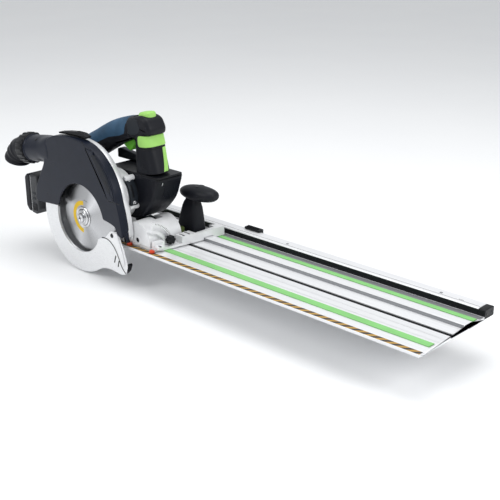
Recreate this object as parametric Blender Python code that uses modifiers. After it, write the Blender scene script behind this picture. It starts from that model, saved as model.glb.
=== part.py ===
"""Track plunge saw: a cordless circular saw that rides on its own cross-cut rail.

Frame: X runs along the rail in the cutting direction, Y points away from the blade side, Z is up.
The origin lies in the plane that the rail rests on, under the blade's axis.
"""
import math

import bmesh
import bpy
from mathutils import Matrix, Vector

# Driving dimensions, in metres.
GAP = 0.0003            # seat between two pieces that touch
RUN = 0.0010            # clearance of a piece that moves past another

RAIL_LENGTH = 0.697
RAIL_REAR = -0.065      # the rail's rear end
RAIL_WIDTH = 0.168
EDGE_Y = -0.010         # the cutting edge, and the line that the saw tilts about
GRIP_T = 0.0007         # grip strip under the rail
PLATE_T = 0.004         # the rail's plate
SPLINTER_W = 0.009
RIB_W = 0.016
RIB_H = 0.0051
RIB_WALL = 0.0012
GROOVE_W = 0.0075
GROOVE_D = 0.002
HOUSING_W = 0.0225      # the housing along the far edge
HOUSING_H = 0.0113
HOUSING_WALL = 0.002
COVER_T = 0.0016
CAP_T = 0.010           # rail end cap
STRIP_H = 0.001         # green glide strips

BLADE_R = 0.080
BLADE_T = 0.0012
TOOTH_T = 0.0018
BLADE_TEETH = 42
BLADE_Z = 0.028         # blade axis height at full depth
SPINDLE_R = 0.005
FLANGE_R = 0.017

GUARD_FACE_Y = -0.028   # outer face of the black guard cover
GUARD_WALL = 0.002
CASTING_Y = -0.0032     # inner face of the silver guard casting
SEAM_Y = -0.0133        # where the cover meets the casting
CASTING_STEP = 0.0022   # how far the silver casting's edge stands inside the black cover's
LOWER_GUARD_R = 0.0865
LOWER_GUARD_WALL = 0.0015

PIVOT_X = 0.1186        # plunge pivot
PIVOT_Z = 0.0166
PIVOT_PIN_R = 0.0035
KNUCKLE_R = 0.0285
KNUCKLE_W = 0.064
ARM_Y = 0.029           # plunge arm, in the knuckle's slot
ARM_T = 0.014

BASE_REAR = -0.098
BASE_T = 0.0036
BASE_Y = -0.001         # near edge of the base plate
FRONT_BAR_X = 0.150
FRONT_BAR_H = 0.011
QUADRANT_R = 0.052
QUADRANT_T = 0.004
KNOB_X = 0.1415
KNOB_HEAD_R = 0.0178    # half width of the knob head, along Y

GEAR_CASE_W = 0.0207    # gear case, along Y
MOTOR_W = 0.0530        # motor housing, along Y
MOTOR_X = 0.0571
MOTOR_Z = 0.0744
LAYSHAFT_X = 0.028
LAYSHAFT_Z = 0.050
CASE_WALL = 0.0025

HANDLE_Y = 0.042        # plane between the handle's halves
HANDLE_W = 0.038
GRIP_T_TOP = 0.005      # thickness of the soft inlay on the grip
PACK_X = -0.144         # rear face of the battery pack
PACK_T = 0.036
PACK_L = 0.106
PACK_Z = 0.0085
PACK_H = 0.067
PACK_Y = -0.022

DUCT_R = 0.022
DUCT_Y = -0.007
DUCT_SLOPE = math.radians(8.5)

# Heights and places that follow from them.
PLATE_Z = GRIP_T + GAP
RAIL_TOP = PLATE_Z + PLATE_T
STRIP_TOP = RAIL_TOP + GAP + STRIP_H
BASE_Z = STRIP_TOP + GAP
BASE_TOP = BASE_Z + BASE_T
RAIL_FRONT = RAIL_REAR + RAIL_LENGTH
HOUSING_Y = EDGE_Y + RAIL_WIDTH - HOUSING_W
RIB_Y = EDGE_Y + (HOUSING_Y - EDGE_Y) * 0.6667     # near face of the guide rib
GROOVE_Y = EDGE_Y + (HOUSING_Y - EDGE_Y) * 0.4639
BASE_W = HOUSING_Y - 0.0175 - BASE_Y
BLADE_Y = EDGE_Y - GAP - TOOTH_T / 2
CASE_Y = CASTING_Y + 0.0025
MOTOR_Y = CASE_Y + GEAR_CASE_W + GAP
KNOB_Y = MOTOR_Y + MOTOR_W + KNOB_HEAD_R + RUN
KNUCKLE_Y = CASTING_Y + RUN + 0.0002
BASE_FRONT = FRONT_BAR_X + 0.011
KNUCKLE_FRONT = PIVOT_X + KNUCKLE_R + 0.0012

# The guard's edge: angle round the blade's axis in degrees, and how far it stands beyond the blade.
CROWN = [(-3.0, 0.0342), (3.2, 0.0339), (12.8, 0.0334), (24.7, 0.0352), (31.0, 0.0385), (37.2, 0.0420),
         (46.3, 0.0462),
         (53.3, 0.0488), (59.8, 0.0509), (65.9, 0.0521), (71.4, 0.0525), (78.7, 0.0519), (87.3, 0.0511),
         (95.0, 0.0512),
         (102.1, 0.0522), (109.4, 0.0548)]

COLOURS = {
    "black": ((0.012, 0.014, 0.020), 0.45, 0.0),
    "navy": ((0.016, 0.022, 0.034), 0.42, 0.0),
    "grip": ((0.035, 0.085, 0.135), 0.65, 0.0),
    "grey": ((0.055, 0.060, 0.066), 0.50, 0.0),
    "lime": ((0.29, 0.60, 0.13), 0.45, 0.0),
    "green": ((0.11, 0.40, 0.04), 0.45, 0.0),
    "olive": ((0.12, 0.16, 0.04), 0.50, 0.0),
    "silver": ((0.78, 0.79, 0.80), 0.35, 0.9),
    "white": ((0.80, 0.81, 0.82), 0.45, 0.4),
    "steel": ((0.55, 0.56, 0.58), 0.25, 1.0),
    "red": ((0.65, 0.06, 0.03), 0.45, 0.0),
    "yellow": ((0.70, 0.42, 0.02), 0.50, 0.0),
    "copper": ((0.70, 0.32, 0.14), 0.35, 1.0),
    "rubber": ((0.010, 0.010, 0.011), 0.80, 0.0),
}


def clear_scene():
    """Remove the startup objects and make the two collections."""
    for old in list(bpy.data.objects):
        bpy.data.objects.remove(old)
    parts = bpy.data.collections.new("track_plunge_saw")
    cutters = bpy.data.collections.new("cutters")
    bpy.context.scene.collection.children.link(parts)
    bpy.context.scene.collection.children.link(cutters)
    return parts, cutters


PARTS, CUTTERS = clear_scene()


def finish_of(name):
    """The material of that name, made once."""
    found = bpy.data.materials.get(name)
    if found:
        return found
    colour, roughness, metallic = COLOURS[name]
    made = bpy.data.materials.new(name)
    made.use_nodes = True
    shader = made.node_tree.nodes["Principled BSDF"]
    shader.inputs["Base Color"].default_value = (*colour, 1.0)
    shader.inputs["Roughness"].default_value = roughness
    shader.inputs["Metallic"].default_value = metallic
    made.diffuse_color = (*colour, 1.0)
    return made


def settle(obj, name, finish, smooth=False):
    """Bake the object's transform, name it, colour it and file it."""
    obj.data.transform(obj.matrix_world)
    obj.matrix_world = Matrix.Identity(4)
    mesh = bmesh.new()
    mesh.from_mesh(obj.data)
    bmesh.ops.recalc_face_normals(mesh, faces=mesh.faces)
    mesh.to_mesh(obj.data)
    mesh.free()
    obj.name = name
    obj.data.name = name
    for held in list(obj.users_collection):
        held.objects.unlink(obj)
    if finish is None:
        CUTTERS.objects.link(obj)
        obj.hide_render = True
        obj.display_type = "WIRE"
    else:
        PARTS.objects.link(obj)
        obj.data.materials.append(finish_of(finish))
        if smooth:
            obj.data.shade_smooth()
            obj.data.set_sharp_from_angle(angle=math.radians(35))
    return obj


def block(name, low, high, finish, turn=0.0):
    """A box between two corners, turned about Y through its own centre."""
    centre = (Vector(low) + Vector(high)) / 2
    size = Vector(high) - Vector(low)
    bpy.ops.mesh.primitive_cube_add(size=1.0, location=centre)
    obj = bpy.context.object
    obj.matrix_world = (Matrix.Translation(centre) @ Matrix.Rotation(turn, 4, "Y")
                        @ Matrix.Diagonal((*size, 1.0)))
    return settle(obj, name, finish)


def rod(name, start, end, radius, finish, sides=32, end_radius=None):
    """A cylinder or a cone from one point to another."""
    start, end = Vector(start), Vector(end)
    axis = end - start
    bpy.ops.mesh.primitive_cone_add(vertices=sides, radius1=radius, depth=axis.length,
                                    radius2=radius if end_radius is None else end_radius)
    obj = bpy.context.object
    spin = axis.to_track_quat("Z", "Y").to_matrix().to_4x4()
    obj.matrix_world = Matrix.Translation((start + end) / 2) @ spin
    return settle(obj, name, finish, smooth=True)


AXES = {
    "Y": Matrix(((1, 0, 0, 0), (0, 0, -1, 0), (0, 1, 0, 0), (0, 0, 0, 1))),
    "X": Matrix(((0, 0, 1, 0), (1, 0, 0, 0), (0, 1, 0, 0), (0, 0, 0, 1))),
    "Z": Matrix.Identity(4),
}


def plate(name, points, low, high, finish, along="Y", smooth=False):
    """A flat outline as a filled curve, as thick as low to high along one axis, made a mesh."""
    curve = bpy.data.curves.new(name, "CURVE")
    curve.dimensions = "2D"
    curve.fill_mode = "BOTH"
    curve.extrude = (high - low) / 2
    spline = curve.splines.new("POLY")
    spline.points.add(len(points) - 1)
    for point, (a, b) in zip(spline.points, points):
        point.co = (a, b, 0.0, 1.0)
    spline.use_cyclic_u = True
    drawn = bpy.data.objects.new(name, curve)
    PARTS.objects.link(drawn)
    middle = (low + high) / 2
    shift = {"X": (middle, 0, 0), "Y": (0, middle, 0), "Z": (0, 0, middle)}[along]
    drawn.matrix_world = Matrix.Translation(shift) @ AXES[along]
    graph = bpy.context.evaluated_depsgraph_get()
    mesh = bpy.data.meshes.new_from_object(drawn.evaluated_get(graph))
    work = bmesh.new()
    work.from_mesh(mesh)
    bmesh.ops.remove_doubles(work, verts=work.verts, dist=1e-6)
    work.to_mesh(mesh)
    work.free()
    obj = bpy.data.objects.new(name, mesh)
    obj.matrix_world = drawn.matrix_world.copy()
    bpy.data.objects.remove(drawn)
    PARTS.objects.link(obj)
    return settle(obj, name, finish, smooth)


def combine(target, tool, how):
    """Cut the target with a tool, or join the tool to it."""
    step = target.modifiers.new(how.lower() + "_" + tool.name, "BOOLEAN")
    step.operation = how
    step.object = tool
    step.solver = "EXACT"
    return target


def cut(target, *tools):
    for tool in tools:
        combine(target, tool, "DIFFERENCE")
    return target


def join(target, *tools):
    for tool in tools:
        combine(target, tool, "UNION")
    return target


def soften(obj, width, segments=1, angle=40.0):
    """Rounded edges, by a Bevel modifier on the sharp ones."""
    bevel = obj.modifiers.new("soften", "BEVEL")
    bevel.width = width
    bevel.segments = segments
    bevel.limit_method = "ANGLE"
    bevel.angle_limit = math.radians(angle)
    return obj


def arc(centre, radius, start, end, steps=12):
    """Points along an arc, with its angles in degrees."""
    turns = [math.radians(start + (end - start) * i / steps) for i in range(steps + 1)]
    return [(centre[0] + radius * math.cos(a), centre[1] + radius * math.sin(a)) for a in turns]


def ring(name, centre, inner, outer, low, high, finish, along="Y", sides=48):
    """A flat ring as a turned profile, with its axis along X, Y or Z."""
    mesh = bpy.data.meshes.new(name)
    profile = [(outer, 0, high), (outer, 0, low), (inner, 0, low), (inner, 0, high)]
    edges = [(0, 1), (1, 2), (2, 3), (3, 0)]
    mesh.from_pydata(profile, edges, [])
    obj = bpy.data.objects.new(name, mesh)
    PARTS.objects.link(obj)
    screw = obj.modifiers.new("turn", "SCREW")
    screw.steps = sides
    screw.render_steps = sides
    screw.use_merge_vertices = True
    screw.merge_threshold = 1e-6
    graph = bpy.context.evaluated_depsgraph_get()
    solid = bpy.data.meshes.new_from_object(obj.evaluated_get(graph))
    bpy.data.objects.remove(obj)
    made = bpy.data.objects.new(name, solid)
    PARTS.objects.link(made)
    swing = {"X": Matrix.Rotation(math.radians(90), 4, "Y"),
             "Y": Matrix.Rotation(math.radians(-90), 4, "X"),
             "Z": Matrix.Identity(4)}[along]
    made.matrix_world = Matrix.Translation(centre) @ swing
    return settle(made, name, finish, smooth=True)


def hull_outline(circles, steps=72):
    """The outline of a belt round circles given as (x, z, radius): their support in each direction."""
    points = []
    for i in range(steps):
        a = 2 * math.pi * i / steps
        away = (math.cos(a), math.sin(a))
        x, z, r = max(circles, key=lambda c: c[0] * away[0] + c[1] * away[1] + c[2])
        points.append((x + r * away[0], z + r * away[1]))
    return points


def offset_down(points, depth):
    """A polyline moved square to itself, towards its right-hand side."""
    moved = []
    for i, (x, z) in enumerate(points):
        before = points[max(i - 1, 0)]
        after = points[min(i + 1, len(points) - 1)]
        run = Vector((after[0] - before[0], after[1] - before[1])).normalized()
        moved.append((x + run.y * depth, z - run.x * depth))
    return moved


# The rail.

def make_rail():
    plate_y = EDGE_Y + SPLINTER_W + GAP
    far_y = HOUSING_Y - GAP
    rib_end = RIB_Y + RIB_W
    roof = RAIL_TOP + RIB_H - RIB_WALL
    section = [(plate_y, PLATE_Z), (plate_y, RAIL_TOP),
               (GROOVE_Y, RAIL_TOP), (GROOVE_Y, RAIL_TOP - GROOVE_D),
               (GROOVE_Y + GROOVE_W, RAIL_TOP - GROOVE_D), (GROOVE_Y + GROOVE_W, RAIL_TOP),
               (RIB_Y, RAIL_TOP), (RIB_Y, RAIL_TOP + RIB_H),
               (rib_end, RAIL_TOP + RIB_H), (rib_end, RAIL_TOP),
               (far_y, RAIL_TOP), (far_y, PLATE_Z),
               (rib_end - RIB_WALL, PLATE_Z), (rib_end - RIB_WALL, roof),
               (RIB_Y + RIB_WALL, roof), (RIB_Y + RIB_WALL, PLATE_Z)]
    plate("rail_profile", section, RAIL_REAR, RAIL_FRONT, "silver", along="X")
    block("splinter_strip", (RAIL_REAR, EDGE_Y, PLATE_Z), (RAIL_FRONT, plate_y - GAP, RAIL_TOP), "yellow")
    for name, low, high in (("grip_strip_near", -0.0005, 0.0095),
                            ("grip_strip_far", rib_end - 0.001, HOUSING_Y - 0.014)):
        block(name, (RAIL_REAR + RUN, low, 0.0), (RAIL_FRONT - RUN, high, GRIP_T), "rubber")
    lift = RAIL_TOP + GAP
    for name, low, width in (("glide_strip_wide", 0.014, 0.012),
                             ("glide_strip_narrow", RIB_Y + 0.026, 0.009)):
        block(name, (RAIL_REAR + 0.003, low, lift), (RAIL_FRONT - 0.003, low + width, lift + STRIP_H),
              "lime")


def make_rail_housing():
    far = HOUSING_Y + HOUSING_W
    top = PLATE_Z + HOUSING_H
    inner = HOUSING_Y + HOUSING_WALL
    start = RAIL_REAR + CAP_T + GAP
    end = RAIL_FRONT - CAP_T - GAP
    section = [(HOUSING_Y, PLATE_Z), (HOUSING_Y, top), (inner, top), (inner, PLATE_Z + HOUSING_WALL),
               (far - HOUSING_WALL, PLATE_Z + HOUSING_WALL), (far - HOUSING_WALL, top), (far, top),
               (far, PLATE_Z)]
    plate("rail_housing", section, start, end, "black", along="X")
    cover_z = top + GAP
    cover = [(HOUSING_Y + 0.0006, cover_z), (HOUSING_Y + 0.0015, cover_z + COVER_T),
             (far - 0.001, cover_z + COVER_T), (far, cover_z)]
    plate("housing_cover", cover, start, end, "silver", along="X")
    cap = [(HOUSING_Y, PLATE_Z), (HOUSING_Y, cover_z), (HOUSING_Y + 0.002, cover_z + COVER_T),
           (far - 0.002, cover_z + COVER_T), (far, cover_z), (far, PLATE_Z)]
    plate("end_cap_rear", cap, RAIL_REAR, RAIL_REAR + CAP_T, "black", along="X")
    plate("end_cap_front", cap, RAIL_FRONT - CAP_T, RAIL_FRONT, "black", along="X")
    lip = cover_z + COVER_T + GAP
    stop = [(far + GAP, PLATE_Z + 0.002), (far + GAP, lip), (far - 0.007, lip), (far - 0.007, lip + 0.0045),
            (far + 0.001, lip + 0.0055), (far + 0.0035, lip + 0.004), (far + 0.0035, PLATE_Z + 0.002)]
    plate("travel_stop", stop, 0.195, 0.227, "black", along="X")


# The base that slides on the rail.

def make_base():
    rib_low = RIB_Y - RUN
    rib_high = RIB_Y + RIB_W + RUN
    roof = RAIL_TOP + RIB_H + RUN
    far = BASE_Y + BASE_W
    section = [(BASE_Y, BASE_Z), (BASE_Y, BASE_TOP), (rib_low - 0.0035, BASE_TOP),
               (rib_low - 0.0025, roof + BASE_T), (rib_high + 0.0025, roof + BASE_T),
               (rib_high + 0.0035, BASE_TOP), (far, BASE_TOP), (far, BASE_Z)]
    base = plate("base_plate", section, BASE_REAR, FRONT_BAR_X + 0.006, "white", along="X")
    near = BASE_Y + 0.0004
    bar = [(FRONT_BAR_X, near), (FRONT_BAR_X + 0.001, near), (BASE_FRONT, BASE_Y + 0.012),
           (BASE_FRONT + 0.015, far - 0.002), (BASE_FRONT + 0.015, far + 0.008),
           (BASE_FRONT + 0.003, far + 0.008),
           (FRONT_BAR_X + 0.004, far - 0.010), (FRONT_BAR_X, BASE_Y + 0.016)]
    bar_block = plate("front_bar", bar, BASE_Z + 0.0002, BASE_TOP + FRONT_BAR_H, None, along="Z")
    channel = block("rib_channel", (BASE_REAR - 0.01, rib_low, BASE_Z - 0.01),
                    (BASE_FRONT + 0.03, rib_high, roof), None)
    pocket = block("quadrant_pocket", (KNUCKLE_FRONT - 0.001, EDGE_Y + 0.0245, BASE_TOP + 0.0002),
                   (BASE_FRONT + 0.03, EDGE_Y + QUADRANT_R + 0.004, BASE_TOP + 0.03), None)
    join(base, bar_block)
    cut(base, channel, pocket)
    shoe_low = RAIL_TOP - GROOVE_D + GAP
    for name, x in (("guide_shoe_rear", BASE_REAR + 0.010), ("guide_shoe_front", FRONT_BAR_X - 0.014)):
        block(name, (x, GROOVE_Y + 0.0006, shoe_low), (x + 0.024, GROOVE_Y + GROOVE_W - 0.0006,
                                                       BASE_Z - GAP), "white")
    for name, x in (("cut_pointer_rear", 0.0975), ("cut_pointer_front", FRONT_BAR_X - 0.001)):
        block(name, (x, EDGE_Y + 0.0015, RAIL_TOP + GAP), (x + 0.008, BASE_Y - GAP, BASE_TOP - 0.001),
              "red")


def make_front_knob():
    foot_z = BASE_TOP + FRONT_BAR_H
    top_z = 0.065
    x, y = KNOB_X, KNOB_Y
    deck = RAIL_TOP + RIB_H + RUN + BASE_T + GAP
    bpy.ops.mesh.primitive_cube_add(size=1.0)
    stalk = bpy.context.object
    for corner in stalk.data.vertices:
        upper = corner.co.z > 0
        wide_x, wide_y = (0.015, 0.010) if upper else (0.023, 0.0135)
        lean = 0.004 if upper else 0.0
        corner.co = (x - 0.004 + lean + math.copysign(wide_x, corner.co.x),
                     y + math.copysign(wide_y, corner.co.y),
                     top_z if upper else deck)
    settle(stalk, "knob_stalk", "black")
    recess = block("stalk_seat", (FRONT_BAR_X - 0.010, y - 0.02, deck - 0.001),
                   (BASE_FRONT + 0.006, y + 0.02, foot_z + 0.01), None)
    cut(bpy.data.objects["base_plate"], recess)
    bpy.ops.mesh.primitive_uv_sphere_add(segments=28, ring_count=14, radius=1.0)
    head = bpy.context.object
    head.matrix_world = (Matrix.Translation((x + 0.0135, y,
                                             top_z + 0.0124)) @ Matrix.Rotation(math.radians(-4), 4, "Y")
                         @ Matrix.Diagonal((0.038, KNOB_HEAD_R, 0.0118, 1.0)))
    settle(head, "knob_head", "black", smooth=True)
    floor = block("knob_floor", (x - 0.05, y - 0.03, top_z - 0.02), (x + 0.06, y + 0.03, top_z + GAP), None)
    cut(head, floor)
    rod("play_knob", (KNUCKLE_FRONT - 0.011, KNUCKLE_Y + KNUCKLE_W + 0.0075, BASE_TOP + GAP),
        (KNUCKLE_FRONT - 0.011, KNUCKLE_Y + KNUCKLE_W + 0.0075, BASE_TOP + 0.014), 0.0060, "olive",
        sides=20)


# The tilting frame and its quadrants, which turn about the cutting edge.

def quadrant(name, x, finish):
    """A quarter plate round the tilt axis, standing on the base plate."""
    floor = BASE_TOP + 2 * GAP
    foot = math.degrees(math.asin(floor / (QUADRANT_R - 0.016)))
    toe = math.degrees(math.asin(floor / QUADRANT_R))
    outer = arc((EDGE_Y, 0), QUADRANT_R, toe, 78.5, 16)
    inner = arc((EDGE_Y, 0), QUADRANT_R - 0.016, 78.5, foot, 14)
    made = plate(name, outer + inner, x, x + QUADRANT_T, finish, along="X")
    slot = (arc((EDGE_Y, 0), QUADRANT_R - 0.0045, 20, 75.8, 14) + arc((EDGE_Y, 0), QUADRANT_R - 0.0115,
                                                                      75.8, 20, 14))
    return cut(made, plate(name + "_slot", slot, x - 0.01, x + 0.02, None, along="X"))


def clamp_place():
    """Where the clamp bolts pass through the quadrants' slots at rest."""
    a = math.radians(25.0)
    radius = QUADRANT_R - 0.008
    return EDGE_Y + radius * math.cos(a), radius * math.sin(a)


def make_tilt_frame():
    floor = BASE_TOP + RUN
    y0, y1 = KNUCKLE_Y, KNUCKLE_Y + KNUCKLE_W
    low = math.degrees(math.asin((PIVOT_Z - floor) / KNUCKLE_R))
    dome = arc((PIVOT_X, PIVOT_Z), KNUCKLE_R, -low, 180 + low, 28)
    knuckle = plate("tilt_block", dome, y0, y1, "white", smooth=True)
    slot = block("arm_slot", (PIVOT_X - KNUCKLE_R - 0.01, ARM_Y - RUN, floor - 0.003),
                 (PIVOT_X + 0.0075, ARM_Y + ARM_T + RUN, PIVOT_Z + KNUCKLE_R + 0.01), None)
    bore = rod("pivot_bore", (PIVOT_X, y0 - 0.01, PIVOT_Z), (PIVOT_X, y1 + 0.01, PIVOT_Z),
               PIVOT_PIN_R + GAP, None, sides=32)
    clamp_y, clamp_z = clamp_place()
    bolt_hole = rod("front_bolt_hole", (PIVOT_X + 0.010, clamp_y, clamp_z),
                    (PIVOT_X + 0.05, clamp_y, clamp_z),
                    0.0028, None, sides=20)
    beam = block("beam", (BASE_REAR + 0.019, y1 - 0.018, floor), (PIVOT_X, y1 - 0.002, floor + 0.009), None)
    bracket = block("rear_bracket", (BASE_REAR + 0.018, EDGE_Y + 0.024, floor),
                    (BASE_REAR + 0.026, y1 - 0.002, floor + 0.017), None)
    rear_stud = rod("rear_stud", (BASE_REAR + 0.009, clamp_y, clamp_z),
                    (BASE_REAR + 0.020, clamp_y, clamp_z),
                    0.0026, None, sides=20)
    join(knuckle, beam, bracket, rear_stud)
    cut(knuckle, slot, bore, bolt_hole)
    rod("pivot_pin", (PIVOT_X, y0 + 0.010, PIVOT_Z), (PIVOT_X, y1 + 0.0115, PIVOT_Z), PIVOT_PIN_R, "steel")
    quadrant("quadrant_front", KNUCKLE_FRONT, "white")
    quadrant("quadrant_rear", BASE_REAR + 0.012, "white")
    face = KNUCKLE_FRONT + QUADRANT_T + GAP
    knob = rod("bevel_clamp_front", (face, clamp_y, clamp_z), (face + 0.010, clamp_y, clamp_z), 0.0070,
               "black", 24)
    stem = rod("front_stem", (KNUCKLE_FRONT - 0.012, clamp_y, clamp_z), (face + 0.004, clamp_y, clamp_z),
               0.0024, None, 16)
    join(knob, stem)


# The guard round the blade.

def crown_line(inset=0.0):
    """The guard's edge from its front foot over the top: flatter in front and fuller above the blade."""
    line = []
    for angle, reach in CROWN:
        a = math.radians(angle)
        r = BLADE_R + reach - inset
        line.append((r * math.cos(a), BLADE_Z + r * math.sin(a)))
    return line


def guard_outline(shrink=0.0):
    """The silver casting's outline round the blade, from its front foot up and over to its rear foot."""
    return (crown_line(CASTING_STEP + shrink)
            + [(-0.065, 0.147 - shrink), (-0.083 + shrink, 0.104), (-0.100 + shrink, 0.070),
               (-0.104 + shrink, 0.035 + shrink)])


def make_guard_casting():
    wall = CASTING_Y - 0.003
    outline = [(0.1105, 0.014)] + guard_outline()[1:] + [(-0.060, 0.0125)]
    inner = [(0.1070, 0.018)] + guard_outline(0.003)[1:] + [(-0.060, 0.0165)]
    inner[-2] = (-0.101, 0.038)
    casting = plate("guard_casting", outline, SEAM_Y + GAP, CASTING_Y, "silver")
    room = plate("casting_room", inner, SEAM_Y - 0.01, wall, None)
    floor = block("casting_floor", (-0.103, SEAM_Y - 0.01, 0.0), (0.1055, wall, 0.034), None)
    hub = rod("casting_hub", (0, SEAM_Y - 0.01, BLADE_Z), (0, CASTING_Y + 0.01, BLADE_Z), 0.0125, None)
    cut(casting, room, floor, hub)


def cover_outline(inset=0.0):
    """The black cover seen from the blade side: crown, front edge, front foot, arch and rear foot."""
    crown = crown_line(inset)[::-1]
    foot = [(0.1135 - inset, 0.0205 + inset), (0.110, 0.0225 + inset), (0.101, 0.0285 + inset),
            (0.098, 0.0385 + inset), (0.072 + inset, 0.043 + inset)]
    opening = arc((-0.0035 + 0.018, 0.032), 0.057 + inset, 12, 168, 16)
    rear = [(-0.0425 - inset, 0.041 + inset), (-0.104 + inset, 0.036 + inset), (-0.101 + inset, 0.063),
            (-0.085 + inset, 0.090), (-0.072 + inset, 0.108), (-0.066 + inset, 0.147 - inset)]
    return crown + foot + opening + rear


def make_guard_cover():
    cover = plate("guard_cover", cover_outline(), GUARD_FACE_Y, SEAM_Y, "navy")
    inside = crown_line(GUARD_WALL)[::-1]
    inside += [(0.1115, 0.010), (-0.110, 0.010), (-0.102, 0.036), (-0.099, 0.063), (-0.083, 0.090),
               (-0.070, 0.108), (-0.064, 0.145)]
    room = plate("cover_room", inside, GUARD_FACE_Y + GUARD_WALL, SEAM_Y + 0.01, None)
    panel = [(0.0300, 0.1530), (0.0484, 0.1320), (0.0601, 0.1160), (0.0729, 0.0985), (0.0842, 0.0785),
             (0.1005, 0.0785), (0.0955, 0.0960), (0.0850, 0.1160), (0.0690, 0.1330), (0.0510, 0.1455)]
    seat = plate("panel_seat", panel, GUARD_FACE_Y - 0.01, GUARD_FACE_Y + 0.0012, None)
    cut(cover, room, seat)
    middle = Vector((sum(p[0] for p in panel) / len(panel), sum(p[1] for p in panel) / len(panel)))
    fitted = [tuple(middle + (Vector(p) - middle) * 0.93) for p in panel]
    plate("guard_panel", fitted, GUARD_FACE_Y + 0.0002, GUARD_FACE_Y + 0.0012 - GAP, "navy")
    wedge = [(-0.038, 0.1593), (0.010, 0.1599), (0.024, 0.1592), (0.030, 0.1635), (0.022, 0.1670),
             (0.004, 0.1668),
             (-0.016, 0.1645), (-0.036, 0.1612)]
    plate("guard_lever", wedge, GUARD_FACE_Y + 0.008, SEAM_Y + 0.004, "black")


def duct_point(along, up=0.0):
    """A point on the dust duct's axis, that far behind its front end."""
    x = -0.072 - along * math.cos(DUCT_SLOPE)
    z = 0.1255 - along * math.sin(DUCT_SLOPE) + up
    return Vector((x, DUCT_Y, z))


def make_dust_port():
    duct = rod("dust_duct", duct_point(0.0), duct_point(0.058), DUCT_R, "navy", sides=40)
    bore = rod("duct_bore", duct_point(-0.01), duct_point(0.08), DUCT_R - 0.002, None, sides=40)
    clearance = plate("duct_clearance", cover_outline(-GAP), GUARD_FACE_Y - 0.01, SEAM_Y + 0.02, None)
    trim = plate("casting_clearance", [(0.13, 0.0)] + guard_outline(-GAP)[1:] + [(-0.07, 0.0)],
                 SEAM_Y - 0.02, CASTING_Y + GAP, None)
    cut(duct, bore, clearance, trim)
    collar = rod("dust_collar", duct_point(0.058 + GAP), duct_point(0.078), DUCT_R + 0.003, "black",
                 sides=40)
    collar_bore = rod("collar_bore", duct_point(0.05), duct_point(0.09), DUCT_R - 0.003, None, sides=40)
    cut(collar, collar_bore)
    start = duct_point(0.078 + GAP)
    turn = []
    for i in range(9):
        a = DUCT_SLOPE + math.radians(62.0) * i / 8
        turn.append(a)
    route = [start]
    for a in turn:
        route.append(route[-1] + Vector((-math.cos(a), 0, -math.sin(a))) * 0.0052)
    curve = bpy.data.curves.new("dust_elbow", "CURVE")
    curve.dimensions = "3D"
    curve.bevel_depth = DUCT_R - 0.001
    curve.bevel_resolution = 8
    curve.use_fill_caps = True
    spline = curve.splines.new("POLY")
    spline.points.add(len(route) - 1)
    for point, place in zip(spline.points, route):
        point.co = (*place, 1.0)
    drawn = bpy.data.objects.new("dust_elbow", curve)
    PARTS.objects.link(drawn)
    graph = bpy.context.evaluated_depsgraph_get()
    mesh = bpy.data.meshes.new_from_object(drawn.evaluated_get(graph))
    work = bmesh.new()
    work.from_mesh(mesh)
    bmesh.ops.remove_doubles(work, verts=work.verts, dist=1e-6)
    work.to_mesh(mesh)
    work.free()
    bpy.data.objects.remove(drawn)
    elbow = bpy.data.objects.new("dust_elbow", mesh)
    PARTS.objects.link(elbow)
    settle(elbow, "dust_elbow", "black", smooth=True)
    last = route[-1]
    aim = (route[-1] - route[-2]).normalized()
    mouth = rod("elbow_mouth", last - aim * 0.030, last + aim * 0.01, DUCT_R - 0.0035, None, sides=32)
    cut(elbow, mouth)


# Blade, spindle and the lower guard that retracts round them.

def make_blade():
    tips = []
    step = 2 * math.pi / BLADE_TEETH
    for i in range(BLADE_TEETH):
        a = -step * i
        for share, radius in ((0.0, BLADE_R), (0.30, BLADE_R - 0.0018), (0.72, BLADE_R - 0.0065),
                              (0.90, BLADE_R - 0.0058)):
            tips.append((radius * math.cos(a - step * share),
                         BLADE_Z + radius * math.sin(a - step * share)))
    blade = plate("saw_blade", tips, BLADE_Y - BLADE_T / 2, BLADE_Y + BLADE_T / 2, "steel")
    arbor = rod("blade_arbor", (0, BLADE_Y - 0.01, BLADE_Z), (0, BLADE_Y + 0.01, BLADE_Z), 0.010, None)
    cut(blade, arbor)
    near = BLADE_Y - BLADE_T / 2 - GAP
    far = BLADE_Y + BLADE_T / 2 + GAP
    ring("outer_flange", (0, 0, BLADE_Z), SPINDLE_R + GAP, FLANGE_R - 0.004, near - 0.003, near, "steel")
    ring("inner_flange", (0, 0, BLADE_Z), SPINDLE_R + GAP, FLANGE_R, far, far + 0.0022, "steel")
    bolt = rod("blade_bolt", (0, near - 0.0075, BLADE_Z), (0, near - 0.003 - GAP, BLADE_Z), 0.0075,
               "steel", 32)
    socket = rod("bolt_socket", (0, near - 0.02, BLADE_Z), (0, near - 0.0048, BLADE_Z), 0.0029, None, 6)
    cut(bolt, socket)
    rod("spindle", (0, near - 0.0028, BLADE_Z), (0, CASE_Y + 0.0165, BLADE_Z), SPINDLE_R, "steel")


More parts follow.
